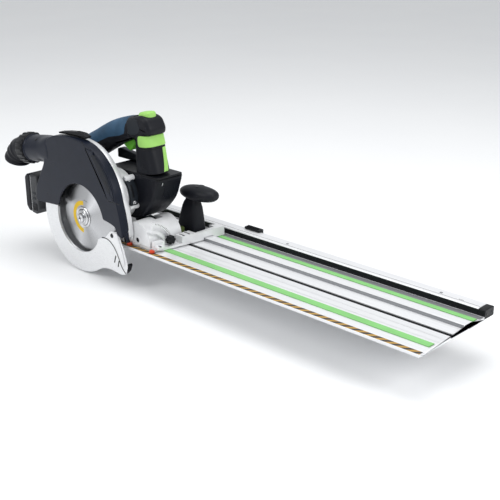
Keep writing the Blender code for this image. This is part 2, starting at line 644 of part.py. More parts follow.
def make_lower_guard():
    front, back = GUARD_FACE_Y + GUARD_WALL + 0.0035, EDGE_Y - 0.0006
    wall = LOWER_GUARD_WALL
    centre = (0.0, BLADE_Z)
    radius = LOWER_GUARD_R
    rim = arc(centre, radius, 168, 305, 30)
    nose = [(0.062, -0.037), (0.105, -0.036), (0.114, -0.026), (0.116, -0.017), (0.108, 0.006),
            (0.094, 0.028), (0.080, 0.026)]
    brow = [(0.066, 0.014), (0.050, 0.008), (0.043, 0.003)]
    window = arc((0.0, BLADE_Z), 0.054, 330, 168, 26)
    face = plate("lower_guard", rim + nose + brow + window, front, front + wall, "silver")
    band = arc(centre, radius - 0.0007, 169.5, 292, 26) + arc(centre, radius - 0.0028, 292, 169.5, 26)
    hoop = plate("guard_hoop", band, front + 0.0004, back, None)
    web_y = EDGE_Y + 0.0008
    ring_y = CASTING_Y - 0.003 - 0.0006
    arm = plate("guard_arm", [(-0.015, BLADE_Z - 0.010), (-0.015, BLADE_Z + 0.012),
                              (-radius + 0.0028, BLADE_Z + 0.014), (-radius + 0.0022, BLADE_Z - 0.005)],
                web_y + 0.0001, ring_y - 0.0002, None)
    link = plate("guard_link", [(-radius + 0.0009, BLADE_Z - 0.006), (-radius + 0.0055, BLADE_Z - 0.006),
                                (-radius + 0.0055, BLADE_Z + 0.0155), (-radius + 0.0022, BLADE_Z + 0.0155)],
                 front + 0.0006, ring_y - 0.0001, None)
    hub = rod("guard_hub", (0, web_y, BLADE_Z), (0, ring_y, BLADE_Z), FLANGE_R + 0.0042, None, 48)
    hole = rod("guard_hub_hole", (0, web_y - 0.001, BLADE_Z), (0, ring_y + 0.01, BLADE_Z),
               FLANGE_R + 0.0007, None, 48)
    join(face, hoop, link, arm, hub)
    cut(face, hole)


# Gear case, motor and what they hold.

def case_outline(inset=0.0):
    return hull_outline([(0, BLADE_Z, 0.0165 - inset), (LAYSHAFT_X, LAYSHAFT_Z, 0.0335 - inset),
                         (MOTOR_X, MOTOR_Z, 0.040 - inset)])


def make_gear_case():
    y0, y1 = CASE_Y, CASE_Y + GEAR_CASE_W
    case = plate("gear_case", case_outline(), y0, y1, "silver", smooth=True)
    room = plate("case_room", case_outline(CASE_WALL), y0 + CASE_WALL, y1 + 0.01, None)
    nose = rod("spindle_hole", (0, y0 - 0.01, BLADE_Z), (0, y0 + 0.01, BLADE_Z), SPINDLE_R + GAP, None)
    cut(case, room, nose)
    band = (arc((MOTOR_X, MOTOR_Z), 0.0445, -12, 46, 14) + arc((MOTOR_X, MOTOR_Z), 0.0404, 46, -12, 14))
    plate("gear_cover", band, y0 + 0.003, y1 - 0.003, "grey", smooth=True)
    gear_y = y0 + CASE_WALL + 0.0052
    ring("spindle_bearing", (0, 0, BLADE_Z), SPINDLE_R + GAP, 0.0125, y0 + CASE_WALL + GAP, gear_y - GAP,
         "steel")
    toothed("spindle_gear", (0, BLADE_Z), 0.0134, gear_y, gear_y + 0.0048, 24, SPINDLE_R + GAP)
    lay = toothed("layshaft_gears", (LAYSHAFT_X, LAYSHAFT_Z), 0.0287, gear_y + 0.0056, gear_y + 0.0100,
                  44, None)
    small = toothed("layshaft_pinion", (LAYSHAFT_X, LAYSHAFT_Z), 0.0214, gear_y, gear_y + 0.0060, 38,
                    None, None)
    shaft = rod("layshaft", (LAYSHAFT_X, y0 + CASE_WALL + GAP, LAYSHAFT_Z),
                (LAYSHAFT_X, y1 - GAP, LAYSHAFT_Z),
                0.004, None, 24)
    join(lay, small, shaft)
    pinion_y = gear_y + 0.0056
    toothed("motor_pinion", (MOTOR_X, MOTOR_Z), 0.0084, pinion_y, pinion_y + 0.0044, 13, None, None)


def toothed(name, centre, radius, low, high, teeth, bore, finish="steel"):
    """A spur gear: an outline that steps between root and tip, with its axis along Y."""
    depth = radius * 2.2 / teeth
    outline = []
    for i in range(teeth):
        for share, away in ((0.00, 0.0), (0.30, 0.0), (0.50, depth), (0.80, depth)):
            a = 2 * math.pi * (i + share) / teeth
            outline.append((centre[0] + (radius - away) * math.cos(a),
                            centre[1] + (radius - away) * math.sin(a)))
    gear = plate(name, outline, low, high, finish)
    if bore:
        cut(gear, rod(name + "_bore", (centre[0], low - 0.01, centre[1]),
                      (centre[0], high + 0.01, centre[1]),
                      bore, None, 24))
    return gear


def motor_outline(inset=0.0):
    """The motor housing from the blade side: flat top, chin swept back towards the pivot."""
    top = 0.1117
    return [(0.093 + inset * 0.2, 0.0375 + inset), (0.110, 0.0505 + inset),
            (0.1300 - inset, 0.072 + inset * 0.4),
            (0.1370 - inset, 0.092), (0.1420 - inset, 0.106), (0.1390 - inset, top - inset),
            (0.030, top - inset),
            (0.012 + inset, 0.096 - inset * 0.4), (0.010 + inset, 0.058), (0.026, 0.0375 + inset)]


def make_motor():
    y0, y1 = MOTOR_Y, MOTOR_Y + MOTOR_W
    housing = plate("motor_housing", motor_outline(), y0, y1, "black")
    room = plate("motor_room", motor_outline(CASE_WALL), y0 - 0.01, y1 - CASE_WALL, None)
    soften(housing, 0.0025)
    cut(housing, room)
    for i in range(5):
        z = 0.070 + 0.0065 * i
        vent = block("vent_%d" % i, (0.118, y1 - 0.026, z), (0.15, y1 - 0.006, z + 0.0028), None)
        cut(housing, vent)
    centre = (MOTOR_X, 0, MOTOR_Z)
    ring("motor_stator", centre, 0.0165, 0.0260, y0 + 0.010, y0 + 0.036, "copper")
    rotor = rod("rotor", (MOTOR_X, y0 + 0.012, MOTOR_Z), (MOTOR_X, y0 + 0.034, MOTOR_Z), 0.0155, "steel",
                32)
    shaft = rod("rotor_shaft", (MOTOR_X, CASE_Y + CASE_WALL + 0.001, MOTOR_Z),
                (MOTOR_X, y1 - CASE_WALL - 0.001, MOTOR_Z),
                0.0030, None, 24)
    join(rotor, shaft, bpy.data.objects["motor_pinion"])
    ring("cooling_fan", centre, 0.0030 + GAP, 0.0240, y0 + 0.040, y0 + 0.047, "black")
    eye = arc((PIVOT_X, PIVOT_Z), PIVOT_Z - BASE_TOP - RUN, 75, -125, 16)
    arm = plate("plunge_arm", [(0.088, 0.0440), (0.108, 0.0400)] + eye + [(0.0780, 0.0330)],
                ARM_Y, ARM_Y + ARM_T, "silver")
    trim = rod("arm_bore", (PIVOT_X, ARM_Y - 0.01, PIVOT_Z), (PIVOT_X, ARM_Y + ARM_T + 0.01, PIVOT_Z),
               PIVOT_PIN_R + GAP, None)
    seat = plate("arm_seat", motor_outline(-GAP), y0 - 0.02, y1 + 0.02, None)
    cut(arm, trim, seat)
    block("electronics_cover", (0.000, HANDLE_Y + HANDLE_W / 2 + RUN, 0.1117 + GAP),
          (0.076, y1 - RUN, 0.129), "grey")


# The D handle, its switch and its inlays.

def grip_top():
    return [(-0.066, 0.127), (-0.043, 0.1445), (-0.017, 0.1590), (0.005, 0.1710), (0.026, 0.1808),
            (0.051, 0.1888), (0.079, 0.1955)]


def handle_outline():
    """Rear leg, grip, head and column, with the grip's top lowered for the soft inlay."""
    lowered = offset_down(grip_top(), GRIP_T_TOP + GAP)
    head = [(0.081, 0.1960), (0.104, 0.2005), (0.1165, 0.1965), (0.1250, 0.1810), (0.1225, 0.1738)]
    column = [(0.1165, 0.1705), (0.1345, 0.112 + GAP), (0.084, 0.112 + GAP), (0.0845, 0.131), (0.088, 0.164)]
    under = [(0.082, 0.1625), (0.060, 0.1510), (0.045, 0.1450), (0.028, 0.1360), (0.005, 0.1220),
             (-0.030, 0.1000), (-0.052, 0.0835)]
    return [(-0.098, 0.084), (-0.086, 0.110)] + lowered + head + column + under


def trigger_outline(grow=0.0):
    return [(0.047 - grow, 0.160 + grow), (0.047 - grow, 0.1465 - grow), (0.060, 0.1395 - grow),
            (0.072 + grow, 0.1465 - grow), (0.076 + grow, 0.160 + grow)]


def make_handle():
    half = HANDLE_W / 2
    sides = {"handle_near": (HANDLE_Y - half, HANDLE_Y - GAP / 2),
             "handle_far": (HANDLE_Y + GAP / 2, HANDLE_Y + half)}
    switch_room = block("switch_room", (0.046, HANDLE_Y - 0.0085, 0.160),
                        (0.106, HANDLE_Y + 0.0085, 0.1785), None)
    trigger_room = plate("trigger_room", trigger_outline(0.0012), HANDLE_Y - 0.0075, HANDLE_Y + 0.0075,
                         None)
    button_room = block("button_room", (0.0870, HANDLE_Y - 0.0125, 0.1820),
                        (0.1140, HANDLE_Y + 0.0125, 0.22), None)
    for name, (low, high) in sides.items():
        made = plate(name, handle_outline(), low, high, "black")
        soften(made, 0.0025, 2, 30.0)
        cut(made, switch_room, trigger_room, button_room)
    inlay = offset_down(grip_top(), GRIP_T_TOP)
    soft = plate("grip_inlay", grip_top() + inlay[::-1], HANDLE_Y - half + 0.003,
                 HANDLE_Y + half - 0.003, "grip")
    soften(soft, 0.0018, 1, 30.0)
    plate("trigger", trigger_outline(), HANDLE_Y - 0.0065, HANDLE_Y + 0.0065, "green")
    block("switch_module", (0.052, HANDLE_Y - 0.0080, 0.1655), (0.100, HANDLE_Y + 0.0080, 0.1770), "black")
    cap = block("lock_off_button", (0.0882, HANDLE_Y - 0.0115, 0.1860),
                (0.1128, HANDLE_Y + 0.0115, 0.2060), "lime")
    soften(cap, 0.003, 2, 30.0)
    outside = [(0.0975, 0.1705), (0.1195, 0.1700), (0.1262, 0.1490), (0.0975, 0.1460)]
    panel = plate("column_panel", outside, HANDLE_Y - half - 0.002, HANDLE_Y + half + 0.002, "lime")
    core = plate("column_core", [(0.05, 0.20), (0.1083, 0.20), (0.1366, 0.108), (0.05, 0.108)],
                 HANDLE_Y - half - GAP, HANDLE_Y + half + GAP, None)
    cut(panel, core)


# The battery at the back.

def make_battery():
    face_x = PACK_X + PACK_T
    y0, y1 = PACK_Y, PACK_Y + PACK_L
    top = PACK_Z + PACK_H
    seam = PACK_X + 0.016
    shell = [(PACK_X, PACK_Z + 0.016), (seam - GAP, PACK_Z + 0.002), (seam - GAP, top - 0.001),
             (PACK_X + 0.003, top - 0.001),
             (PACK_X, top - 0.005)]
    plate("battery_cover", shell, y0, y1, "black")
    body = [(seam, PACK_Z), (face_x, PACK_Z), (face_x, top), (seam, top)]
    pack = plate("battery_pack", body, y0, y1, "grey")
    catch = block("release_seat", (seam + 0.003, y0 - 0.01, PACK_Z + 0.005),
                  (face_x - 0.003, y0 + 0.006, PACK_Z + 0.019),
                  None)
    cut(pack, catch)
    block("battery_release", (seam + 0.004, y0 - 0.001, PACK_Z + 0.006),
          (face_x - 0.004, y0 + 0.0030, PACK_Z + 0.018),
          "black")
    dock_y = CASTING_Y + 0.004
    dock = plate("battery_dock", [(face_x + GAP, PACK_Z + 0.008), (-0.0975, PACK_Z + 0.008),
                                  (-0.0975, 0.060),
                                  (0.0095, 0.072), (0.0095, 0.0835), (-0.0975, 0.0835),
                                  (face_x + GAP, top + 0.002)],
                 dock_y + 0.020, PACK_Y + PACK_L, "black")
    seat = plate("dock_trim", case_outline(-GAP), CASE_Y - 0.01, CASE_Y + GEAR_CASE_W + GAP, None)
    cut(dock, seat)


# Springs: short coils on their own pins, each a poly tube.

def coil(name, centre, radius, wire, low, high, turns):
    count = turns * 14
    curve = bpy.data.curves.new(name, "CURVE")
    curve.dimensions = "3D"
    curve.bevel_depth = wire
    curve.bevel_resolution = 2
    curve.use_fill_caps = True
    spline = curve.splines.new("POLY")
    spline.points.add(count)
    for i, point in enumerate(spline.points):
        a = 2 * math.pi * turns * i / count
        point.co = (centre[0] + radius * math.cos(a), low + (high - low) * i / count,
                    centre[1] + radius * math.sin(a), 1.0)
    made = bpy.data.objects.new(name, curve)
    PARTS.objects.link(made)
    curve.materials.append(finish_of("steel"))
    return made


def make_springs():
    face = KNUCKLE_Y + KNUCKLE_W
    coil("plunge_spring", (PIVOT_X, PIVOT_Z), PIVOT_PIN_R + 0.0014, 0.0007, face + 0.0012, face + 0.010, 4)


BODIES = {
    "saw_base": ((0, 0, BASE_Z), ["base_plate", "guide_shoe_rear", "guide_shoe_front", "cut_pointer_rear",
                                  "cut_pointer_front", "knob_stalk", "knob_head", "quadrant_front",
                                  "quadrant_rear"]),
    "tilt_frame": ((0, EDGE_Y, 0), ["tilt_block", "pivot_pin", "plunge_spring"]),
    "saw_unit": ((PIVOT_X, 0, PIVOT_Z), ["guard_casting", "guard_cover", "guard_panel", "dust_duct",
                                         "dust_collar",
                                         "gear_case", "gear_cover", "spindle_bearing", "motor_housing",
                                         "motor_stator", "plunge_arm", "electronics_cover", "handle_near",
                                         "handle_far", "grip_inlay", "switch_module", "column_panel",
                                         "battery_dock"]),
    "blade_spin": ((0, 0, BLADE_Z), ["saw_blade", "outer_flange", "inner_flange", "blade_bolt", "spindle",
                                     "spindle_gear"]),
    "layshaft_spin": ((LAYSHAFT_X, 0, LAYSHAFT_Z), ["layshaft_gears"]),
    "rotor_spin": ((MOTOR_X, 0, MOTOR_Z), ["rotor", "cooling_fan"]),
    "lower_guard_swing": ((0, 0, BLADE_Z), ["lower_guard"]),
    "battery_slide": ((PACK_X, PACK_Y, PACK_Z), ["battery_pack", "battery_cover"]),
}


def parent_all():
    """Each moving body's pieces hang on an empty that stands on its joint's axis."""
    for name, (place, members) in BODIES.items():
        pivot = bpy.data.objects.new(name, None)
        pivot.location = place
        PARTS.objects.link(pivot)
        bpy.context.view_layer.update()
        for member in members:
            piece = bpy.data.objects[member]
            piece.parent = pivot
            piece.matrix_parent_inverse = pivot.matrix_world.inverted()


def main():
    make_rail()
    make_rail_housing()
    make_base()
    make_front_knob()
    make_tilt_frame()
    make_guard_casting()
    make_guard_cover()
    make_dust_port()
    make_blade()
    make_lower_guard()
    make_gear_case()
    make_motor()
    make_handle()
    make_battery()
    make_springs()
    parent_all()


main()
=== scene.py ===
import math

import bmesh
import bpy
import numpy as np
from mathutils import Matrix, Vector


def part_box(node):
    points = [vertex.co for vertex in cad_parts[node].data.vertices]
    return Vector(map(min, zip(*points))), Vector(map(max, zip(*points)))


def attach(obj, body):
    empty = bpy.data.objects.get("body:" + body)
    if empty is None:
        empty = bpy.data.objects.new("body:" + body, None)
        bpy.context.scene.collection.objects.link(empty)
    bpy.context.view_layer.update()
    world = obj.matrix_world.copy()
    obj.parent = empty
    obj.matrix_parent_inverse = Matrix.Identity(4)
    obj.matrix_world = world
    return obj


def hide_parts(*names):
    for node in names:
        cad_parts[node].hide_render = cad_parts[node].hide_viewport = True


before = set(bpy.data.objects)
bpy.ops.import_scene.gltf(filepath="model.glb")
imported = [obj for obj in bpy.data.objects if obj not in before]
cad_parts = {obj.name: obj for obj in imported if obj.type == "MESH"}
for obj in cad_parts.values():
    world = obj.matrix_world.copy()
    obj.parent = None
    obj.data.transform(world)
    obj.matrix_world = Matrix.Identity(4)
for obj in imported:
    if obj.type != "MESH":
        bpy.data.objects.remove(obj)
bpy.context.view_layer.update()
mm = 0.001
print("frame loaded", len(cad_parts), "nodes")

# Camera, floor and light

view = {"azimuth": 43.5, "elevation": 20.6, "lens": 68.3, "place": (1.1693, -0.8623, 0.5069)}
studio = {"floor": -0.0605, "floorColour": (0.93, 0.935, 0.945), "sky": 0.62}


def addCamera():
    # Placed in the frame and turned by its own azimuth and elevation
    az, el = math.radians(view["azimuth"]), math.radians(view["elevation"])
    data = bpy.data.cameras.new("camera")
    data.lens, data.sensor_width = view["lens"], 36.0
    data.clip_end = 20.0
    cam = bpy.data.objects.new("camera", data)
    bpy.context.scene.collection.objects.link(cam)
    cam.location = view["place"]
    cam.rotation_euler = (math.pi / 2 - el, 0.0, az)
    bpy.context.scene.camera = cam


def addLight(name, place, target, size, power):
    # An area lamp square to the line from its place to its target
    data = bpy.data.lights.new(name, "AREA")
    data.energy, data.size = power, size
    lamp = bpy.data.objects.new(name, data)
    bpy.context.scene.collection.objects.link(lamp)
    lamp.location = place
    aim = np.array(target) - np.array(place)
    lamp.rotation_euler = (math.acos(-aim[2] / np.linalg.norm(aim)), 0.0, math.atan2(aim[1], aim[0]) - math.pi / 2)


addCamera()
addLight("keyLight", (-0.6, -1.5, 1.5), (0.1, 0.0, 0.05), 1.0, 13)
addLight("topLight", (0.3, 0.2, 1.9), (0.2, 0.0, 0.0), 1.4, 16)
addLight("sideLight", (1.7, 0.4, 0.9), (0.2, 0.0, 0.05), 0.8, 9)
world = bpy.data.worlds.new("studio")
bpy.context.scene.world = world
world.use_nodes = True
world.node_tree.nodes["Background"].inputs["Color"].default_value = (0.96, 0.98, 1.0, 1.0)
world.node_tree.nodes["Background"].inputs["Strength"].default_value = studio["sky"]
bpy.context.scene.view_settings.view_transform = "Standard"
print("camera and light")

# Materials


def material(name, colour, roughness, metallic=0.0, coat=0.0, specular=0.5):
    mat = bpy.data.materials.new(name)
    mat.use_nodes = True
    shader = mat.node_tree.nodes["Principled BSDF"]
    shader.inputs["Base Color"].default_value = (*colour, 1.0)
    shader.inputs["Roughness"].default_value = roughness
    shader.inputs["Metallic"].default_value = metallic
    shader.inputs["Coat Weight"].default_value = coat
    shader.inputs["Specular IOR Level"].default_value = specular
    return mat


def node(mat, kind, **values):
    # A shader node with its inputs and settings given by name
    made = mat.node_tree.nodes.new(kind)
    for key, value in values.items():
        if hasattr(made, key):
            setattr(made, key, value)
        else:
            made.inputs[key].default_value = value
    return made


def link(mat, out, into):
    mat.node_tree.links.new(out, into)


def objectPlace(mat, scale=(1, 1, 1), turn=(0, 0, 0), shift=(0, 0, 0)):
    # Object coordinates, stretched or turned for one pattern
    place = node(mat, "ShaderNodeTexCoord")
    mapping = node(mat, "ShaderNodeMapping", Scale=scale, Rotation=turn, Location=shift)
    link(mat, place.outputs["Object"], mapping.inputs["Vector"])
    return mapping.outputs["Vector"]


def noise(mat, vector, scale, detail=3.0, rough=0.55):
    made = node(mat, "ShaderNodeTexNoise", Scale=scale, Detail=detail, Roughness=rough)
    link(mat, vector, made.inputs["Vector"])
    return made.outputs["Fac"]


def ramp(mat, fac, stops):
    made = node(mat, "ShaderNodeValToRGB")
    link(mat, fac, made.inputs["Fac"])
    edge = made.color_ramp.elements
    while len(edge) < len(stops):
        edge.new(0.5)
    for item, (where, shade) in zip(edge, stops):
        item.position = where
        item.color = (*shade, 1.0) if len(shade) == 3 else shade
    return made.outputs["Color"]


def bumpOf(mat, height, strength, distance):
    made = node(mat, "ShaderNodeBump", Strength=strength, Distance=distance)
    link(mat, height, made.inputs["Height"])
    link(mat, made.outputs["Normal"], mat.node_tree.nodes["Principled BSDF"].inputs["Normal"])


def shaderIn(mat, socket):
    return mat.node_tree.nodes["Principled BSDF"].inputs[socket]


def tones(colour, spread):
    # The colour times one minus the spread, and times one plus it
    return [tuple(np.clip(np.array(colour) * (1 - spread), 0, 1)), tuple(np.clip(np.array(colour) * (1 + spread), 0, 1))]


def moulded(name, colour, roughness=0.42, spread=0.12, grain=1500.0, relief=0.00004, coat=0.0, specular=0.22):
    # Moulded plastic: cloudy colour, spark texture and a little handling wear in the gloss
    mat = material(name, colour, roughness, coat=coat, specular=specular)
    vector = objectPlace(mat)
    cloud = noise(mat, vector, 38.0, 4.0)
    low, high = tones(colour, spread)
    link(mat, ramp(mat, cloud, [(0.3, low), (0.7, high)]), shaderIn(mat, "Base Color"))
    wear = noise(mat, vector, 120.0, 6.0, 0.65)
    rough = ramp(mat, wear, [(0.3, (roughness * 0.82,) * 3), (0.75, (min(roughness * 1.18, 1.0),) * 3)])
    link(mat, rough, shaderIn(mat, "Roughness"))
    bumpOf(mat, noise(mat, vector, grain, 2.0), 0.35, relief)
    return mat


def cast(name, colour, roughness, metallic, grain=420.0, relief=0.00012):
    # Die-cast metal under a thin satin finish
    mat = material(name, colour, roughness, metallic)
    vector = objectPlace(mat)
    low, high = tones(colour, 0.07)
    link(mat, ramp(mat, noise(mat, vector, 30.0, 5.0), [(0.3, low), (0.7, high)]), shaderIn(mat, "Base Color"))
    wear = noise(mat, vector, 90.0, 5.0, 0.6)
    rough = ramp(mat, wear, [(0.3, (roughness * 0.85,) * 3), (0.7, (roughness * 1.2,) * 3)])
    link(mat, rough, shaderIn(mat, "Roughness"))
    bumpOf(mat, noise(mat, vector, grain, 3.0), 0.25, relief)
    return mat


def brushed(name, colour, roughness, metallic, stretch, relief=0.00003):
    # Metal with fine draw lines along one axis
    mat = material(name, colour, roughness, metallic)
    vector = objectPlace(mat, scale=stretch)
    lines = noise(mat, vector, 1.0, 4.0, 0.6)
    low, high = tones(colour, 0.06)
    link(mat, ramp(mat, lines, [(0.3, low), (0.7, high)]), shaderIn(mat, "Base Color"))
    rough = ramp(mat, lines, [(0.25, (roughness * 0.75,) * 3), (0.75, (roughness * 1.3,) * 3)])
    link(mat, rough, shaderIn(mat, "Roughness"))
    bumpOf(mat, lines, 0.3, relief)
    return mat


def turned(name, colour, roughness, centre, rings=2600.0):
    # Ground steel: rings round one axis along Y, multiplied by bright and dark sectors round that axis, which paint a
    # highlight into the base colour
    mat = material(name, colour, roughness, 1.0)
    vector = objectPlace(mat, shift=(-centre[0], 0.0, -centre[1]))
    split = node(mat, "ShaderNodeSeparateXYZ")
    link(mat, vector, split.inputs["Vector"])
    flat = node(mat, "ShaderNodeCombineXYZ")
    link(mat, split.outputs["X"], flat.inputs["X"])
    link(mat, split.outputs["Z"], flat.inputs["Y"])
    away = node(mat, "ShaderNodeVectorMath", operation="LENGTH")
    link(mat, flat.outputs["Vector"], away.inputs[0])
    single = node(mat, "ShaderNodeCombineXYZ")
    link(mat, away.outputs["Value"], single.inputs["X"])
    lines = noise(mat, single.outputs["Vector"], rings, 3.0, 0.7)
    angle = node(mat, "ShaderNodeMath", operation="ARCTAN2")
    link(mat, split.outputs["Z"], angle.inputs[0])
    link(mat, split.outputs["X"], angle.inputs[1])
    turn = node(mat, "ShaderNodeMath", operation="MULTIPLY_ADD")
    link(mat, angle.outputs["Value"], turn.inputs[0])
    turn.inputs[1].default_value = 0.5 / math.pi
    turn.inputs[2].default_value = 0.5
    # Painted highlight: bright and dark sectors by angle round the axis, multiplied into the base colour
    paintedHighlight = ramp(mat, turn.outputs["Value"], [(0.0, (0.80,) * 3), (0.09, (0.55,) * 3), (0.20, (1.0,) * 3), (0.31, (0.62,) * 3), (0.42, (0.95,) * 3),
                                              (0.56, (0.72,) * 3), (0.63, (1.15,) * 3), (0.70, (0.60,) * 3), (0.86, (0.58,) * 3), (0.93, (0.92,) * 3), (1.0, (0.80,) * 3)])
    low, high = tones(colour, 0.10)
    both = node(mat, "ShaderNodeMix", data_type="RGBA", blend_type="MULTIPLY")
    both.inputs["Factor"].default_value = 1.0
    link(mat, ramp(mat, lines, [(0.3, low), (0.7, high)]), both.inputs[6])
    link(mat, paintedHighlight, both.inputs[7])
    link(mat, both.outputs[2], shaderIn(mat, "Base Color"))
    rough = ramp(mat, lines, [(0.3, (roughness * 0.7,) * 3), (0.7, (roughness * 1.4,) * 3)])
    link(mat, rough, shaderIn(mat, "Roughness"))
    return mat


def hazardTape():
    # Diagonal bars: a sawtooth of x plus y, cut at half its height
    mat = material("hazardTape", (0.8, 0.5, 0.1), 0.45)
    vector = objectPlace(mat)
    split = node(mat, "ShaderNodeSeparateXYZ")
    link(mat, vector, split.inputs["Vector"])
    lean = node(mat, "ShaderNodeMath", operation="MULTIPLY_ADD")
    link(mat, split.outputs["Y"], lean.inputs[0])
    lean.inputs[1].default_value = -1.25
    link(mat, split.outputs["X"], lean.inputs[2])
    saw = node(mat, "ShaderNodeMath", operation="FRACT")
    scale = node(mat, "ShaderNodeMath", operation="MULTIPLY")
    link(mat, lean.outputs["Value"], scale.inputs[0])
    scale.inputs[1].default_value = 1.0 / 0.0152
    link(mat, scale.outputs["Value"], saw.inputs[0])
    bars = ramp(mat, saw.outputs["Value"], [(0.0, (0.52, 0.30, 0.055)), (0.5, (0.035, 0.032, 0.035))])
    bars.node.color_ramp.interpolation = "CONSTANT"
    grime = ramp(mat, noise(mat, vector, 160.0, 4.0), [(0.35, (0.86, 0.86, 0.86)), (0.7, (1.0, 1.0, 1.0))])
    both = node(mat, "ShaderNodeMix", data_type="RGBA", blend_type="MULTIPLY")
    both.inputs["Factor"].default_value = 1.0
    link(mat, bars, both.inputs[6])
    link(mat, grime, both.inputs[7])
    link(mat, both.outputs[2], shaderIn(mat, "Base Color"))
    bumpOf(mat, noise(mat, vector, 900.0, 2.0), 0.2, 0.00003)
    return mat


bladeAxis = (0.0, 0.5 * (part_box("saw_blade")[0].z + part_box("saw_blade")[1].z))
navy = moulded("navyPlastic", (0.0065, 0.0095, 0.0195), 0.33)
navyPanel = moulded("navyPanelPlastic", (0.0050, 0.0070, 0.0125), 0.40)
black = moulded("blackPlastic", (0.0045, 0.0050, 0.0070), 0.38)
softBlack = moulded("softTouchBlack", (0.0060, 0.0068, 0.0105), 0.46, grain=2600.0)
slate = moulded("slatePlastic", (0.0140, 0.0175, 0.0230), 0.42)
greyPlastic = moulded("greyPlastic", (0.050, 0.052, 0.056), 0.48)
gripBlue = moulded("blueOverMould", (0.035, 0.085, 0.150), 0.55, 0.22, grain=900.0, relief=0.0001)
lime = moulded("limePlastic", (0.335, 0.640, 0.150), 0.36, 0.05)
triggerGreen = moulded("triggerGreen", (0.120, 0.430, 0.035), 0.36, 0.10)
olive = moulded("olivePlastic", (0.085, 0.120, 0.030), 0.42)
redPlastic = moulded("redPlastic", (0.640, 0.065, 0.025), 0.40, 0.08)
yellowPrint = moulded("yellowPrint", (0.740, 0.480, 0.020), 0.40, 0.06)
glideGreen = moulded("glideStrip", (0.235, 0.560, 0.190), 0.45, 0.06)
foam = moulded("gripFoam", (0.012, 0.012, 0.013), 0.85, 0.2, grain=700.0, relief=0.0002)
whiteCast = cast("paleCasting", (0.800, 0.805, 0.815), 0.38, 0.15)
silverCast = cast("silverCasting", (0.780, 0.785, 0.795), 0.34, 0.55)
guardSteel = brushed("guardSheet", (0.800, 0.805, 0.815), 0.34, 0.80, (240.0, 240.0, 900.0))
railMetal = brushed("railAnodised", (0.840, 0.845, 0.860), 0.40, 0.35, (9.0, 1600.0, 1600.0))
# Dark grey for the far strip, the lid's groove and studs, and as painted shade on the rail rib's near wall
railGreyAndShade = brushed("railPaintedShadeAndGrey", (0.300, 0.305, 0.320), 0.42, 0.55, (9.0, 1600.0, 1600.0))
steel = brushed("pinSteel", (0.560, 0.565, 0.580), 0.26, 1.0, (600.0, 600.0, 600.0))
# Chrome and blade steel both carry painted highlight sectors round the blade's axis in their base colour
chrome = turned("chromeSteel", (0.780, 0.785, 0.800), 0.16, bladeAxis)
bladeSteel = turned("bladeSteel", (0.600, 0.605, 0.620), 0.26, bladeAxis)
carbide = cast("carbide", (0.300, 0.305, 0.315), 0.35, 0.9)
copper = moulded("windings", (0.420, 0.170, 0.060), 0.35)
hazard = hazardTape()
print("materials")

# Mesh building: each shape gives its points and faces, and a piece is a list of such shapes


def gridFaces(rows, columns, closeColumns=True, closeRows=False):
    # Quads between neighbouring rows and columns of a grid of points
    r = np.arange(rows if closeRows else rows - 1)
    c = np.arange(columns if closeColumns else columns - 1)
    i, j = np.meshgrid(r, c, indexing="ij")
    i2, j2 = (i + 1) % rows, (j + 1) % columns
    quads = np.stack([i * columns + j, i2 * columns + j, i2 * columns + j2, i * columns + j2], -1)
    return quads.reshape(-1, 4).tolist()


def tube(points, capped=True, closeRows=False):
    # A grid whose columns run round each ring, with a face across the first and last ring
    rows, columns = points.shape[:2]
    faces = gridFaces(rows, columns, True, closeRows)
    if capped and not closeRows:
        faces.append(list(range(columns)))
        faces.append(list(range((rows - 1) * columns, rows * columns)))
    return points.reshape(-1, 3), faces


def roundLoop(corners, radius, steps=5):
    # Each corner of a polygon becomes a parabola that leaves both sides at the given distance from it
    p = np.array(corners, float)
    r = np.broadcast_to(np.array(radius, float), (len(p),))[:, None]
    before, after = np.roll(p, 1, 0) - p, np.roll(p, -1, 0) - p
    lb, la = np.linalg.norm(before, axis=1, keepdims=True), np.linalg.norm(after, axis=1, keepdims=True)
    start = p + before / lb * np.minimum(r, lb * 0.46)
    end = p + after / la * np.minimum(r, la * 0.46)
    t = np.linspace(0, 1, steps + 1)[None, :, None]
    curve = (1 - t) ** 2 * start[:, None] + 2 * t * (1 - t) * p[:, None] + t ** 2 * end[:, None]
    return curve.reshape(-1, 2)


def evenLoop(loop, count):
    # The same closed line with its points at equal distances
    closed = np.vstack([loop, loop[:1]])
    run = np.r_[0, np.cumsum(np.linalg.norm(np.diff(closed, axis=0), axis=1))]
    where = np.linspace(0, run[-1], count, endpoint=False)
    return np.stack([np.interp(where, run, closed[:, k]) for k in (0, 1)], 1)


def smoothLine(points, count):
    # Catmull-Rom through the points, sampled evenly in its parameter
    p = np.array(points, float)
    p = np.vstack([2 * p[0] - p[1], p, 2 * p[-1] - p[-2]])
    s = np.linspace(0, len(p) - 3 - 1e-9, count)
    i = s.astype(int)
    t = (s - i)[:, None]
    a, b, c, d = p[i], p[i + 1], p[i + 2], p[i + 3]
    return 0.5 * (2 * b + (c - a) * t + (2 * a - 5 * b + 4 * c - d) * t ** 2 + (3 * b - a - 3 * c + d) * t ** 3)


def arcPoints(centre, radius, start, end, steps):
    # Centre plus radius times the cosine and sine of evenly spaced angles in degrees
    a = np.radians(np.linspace(start, end, steps + 1))
    return np.stack([centre[0] + radius * np.cos(a), centre[1] + radius * np.sin(a)], 1)


def inward(loop, distance):
    # Each point moves square to the line through its neighbours, into the closed line
    ahead = np.roll(loop, -1, 0) - np.roll(loop, 1, 0)
    ahead /= np.maximum(np.linalg.norm(ahead, axis=1, keepdims=True), 1e-12)
    x, y = loop[:, 0], loop[:, 1]
    area = np.sum(x * np.roll(y, -1) - y * np.roll(x, -1))
    side = np.stack([-ahead[:, 1], ahead[:, 0]], 1) * np.sign(area)
    return loop + side * np.reshape(distance, (-1, 1) if np.ndim(distance) else ())


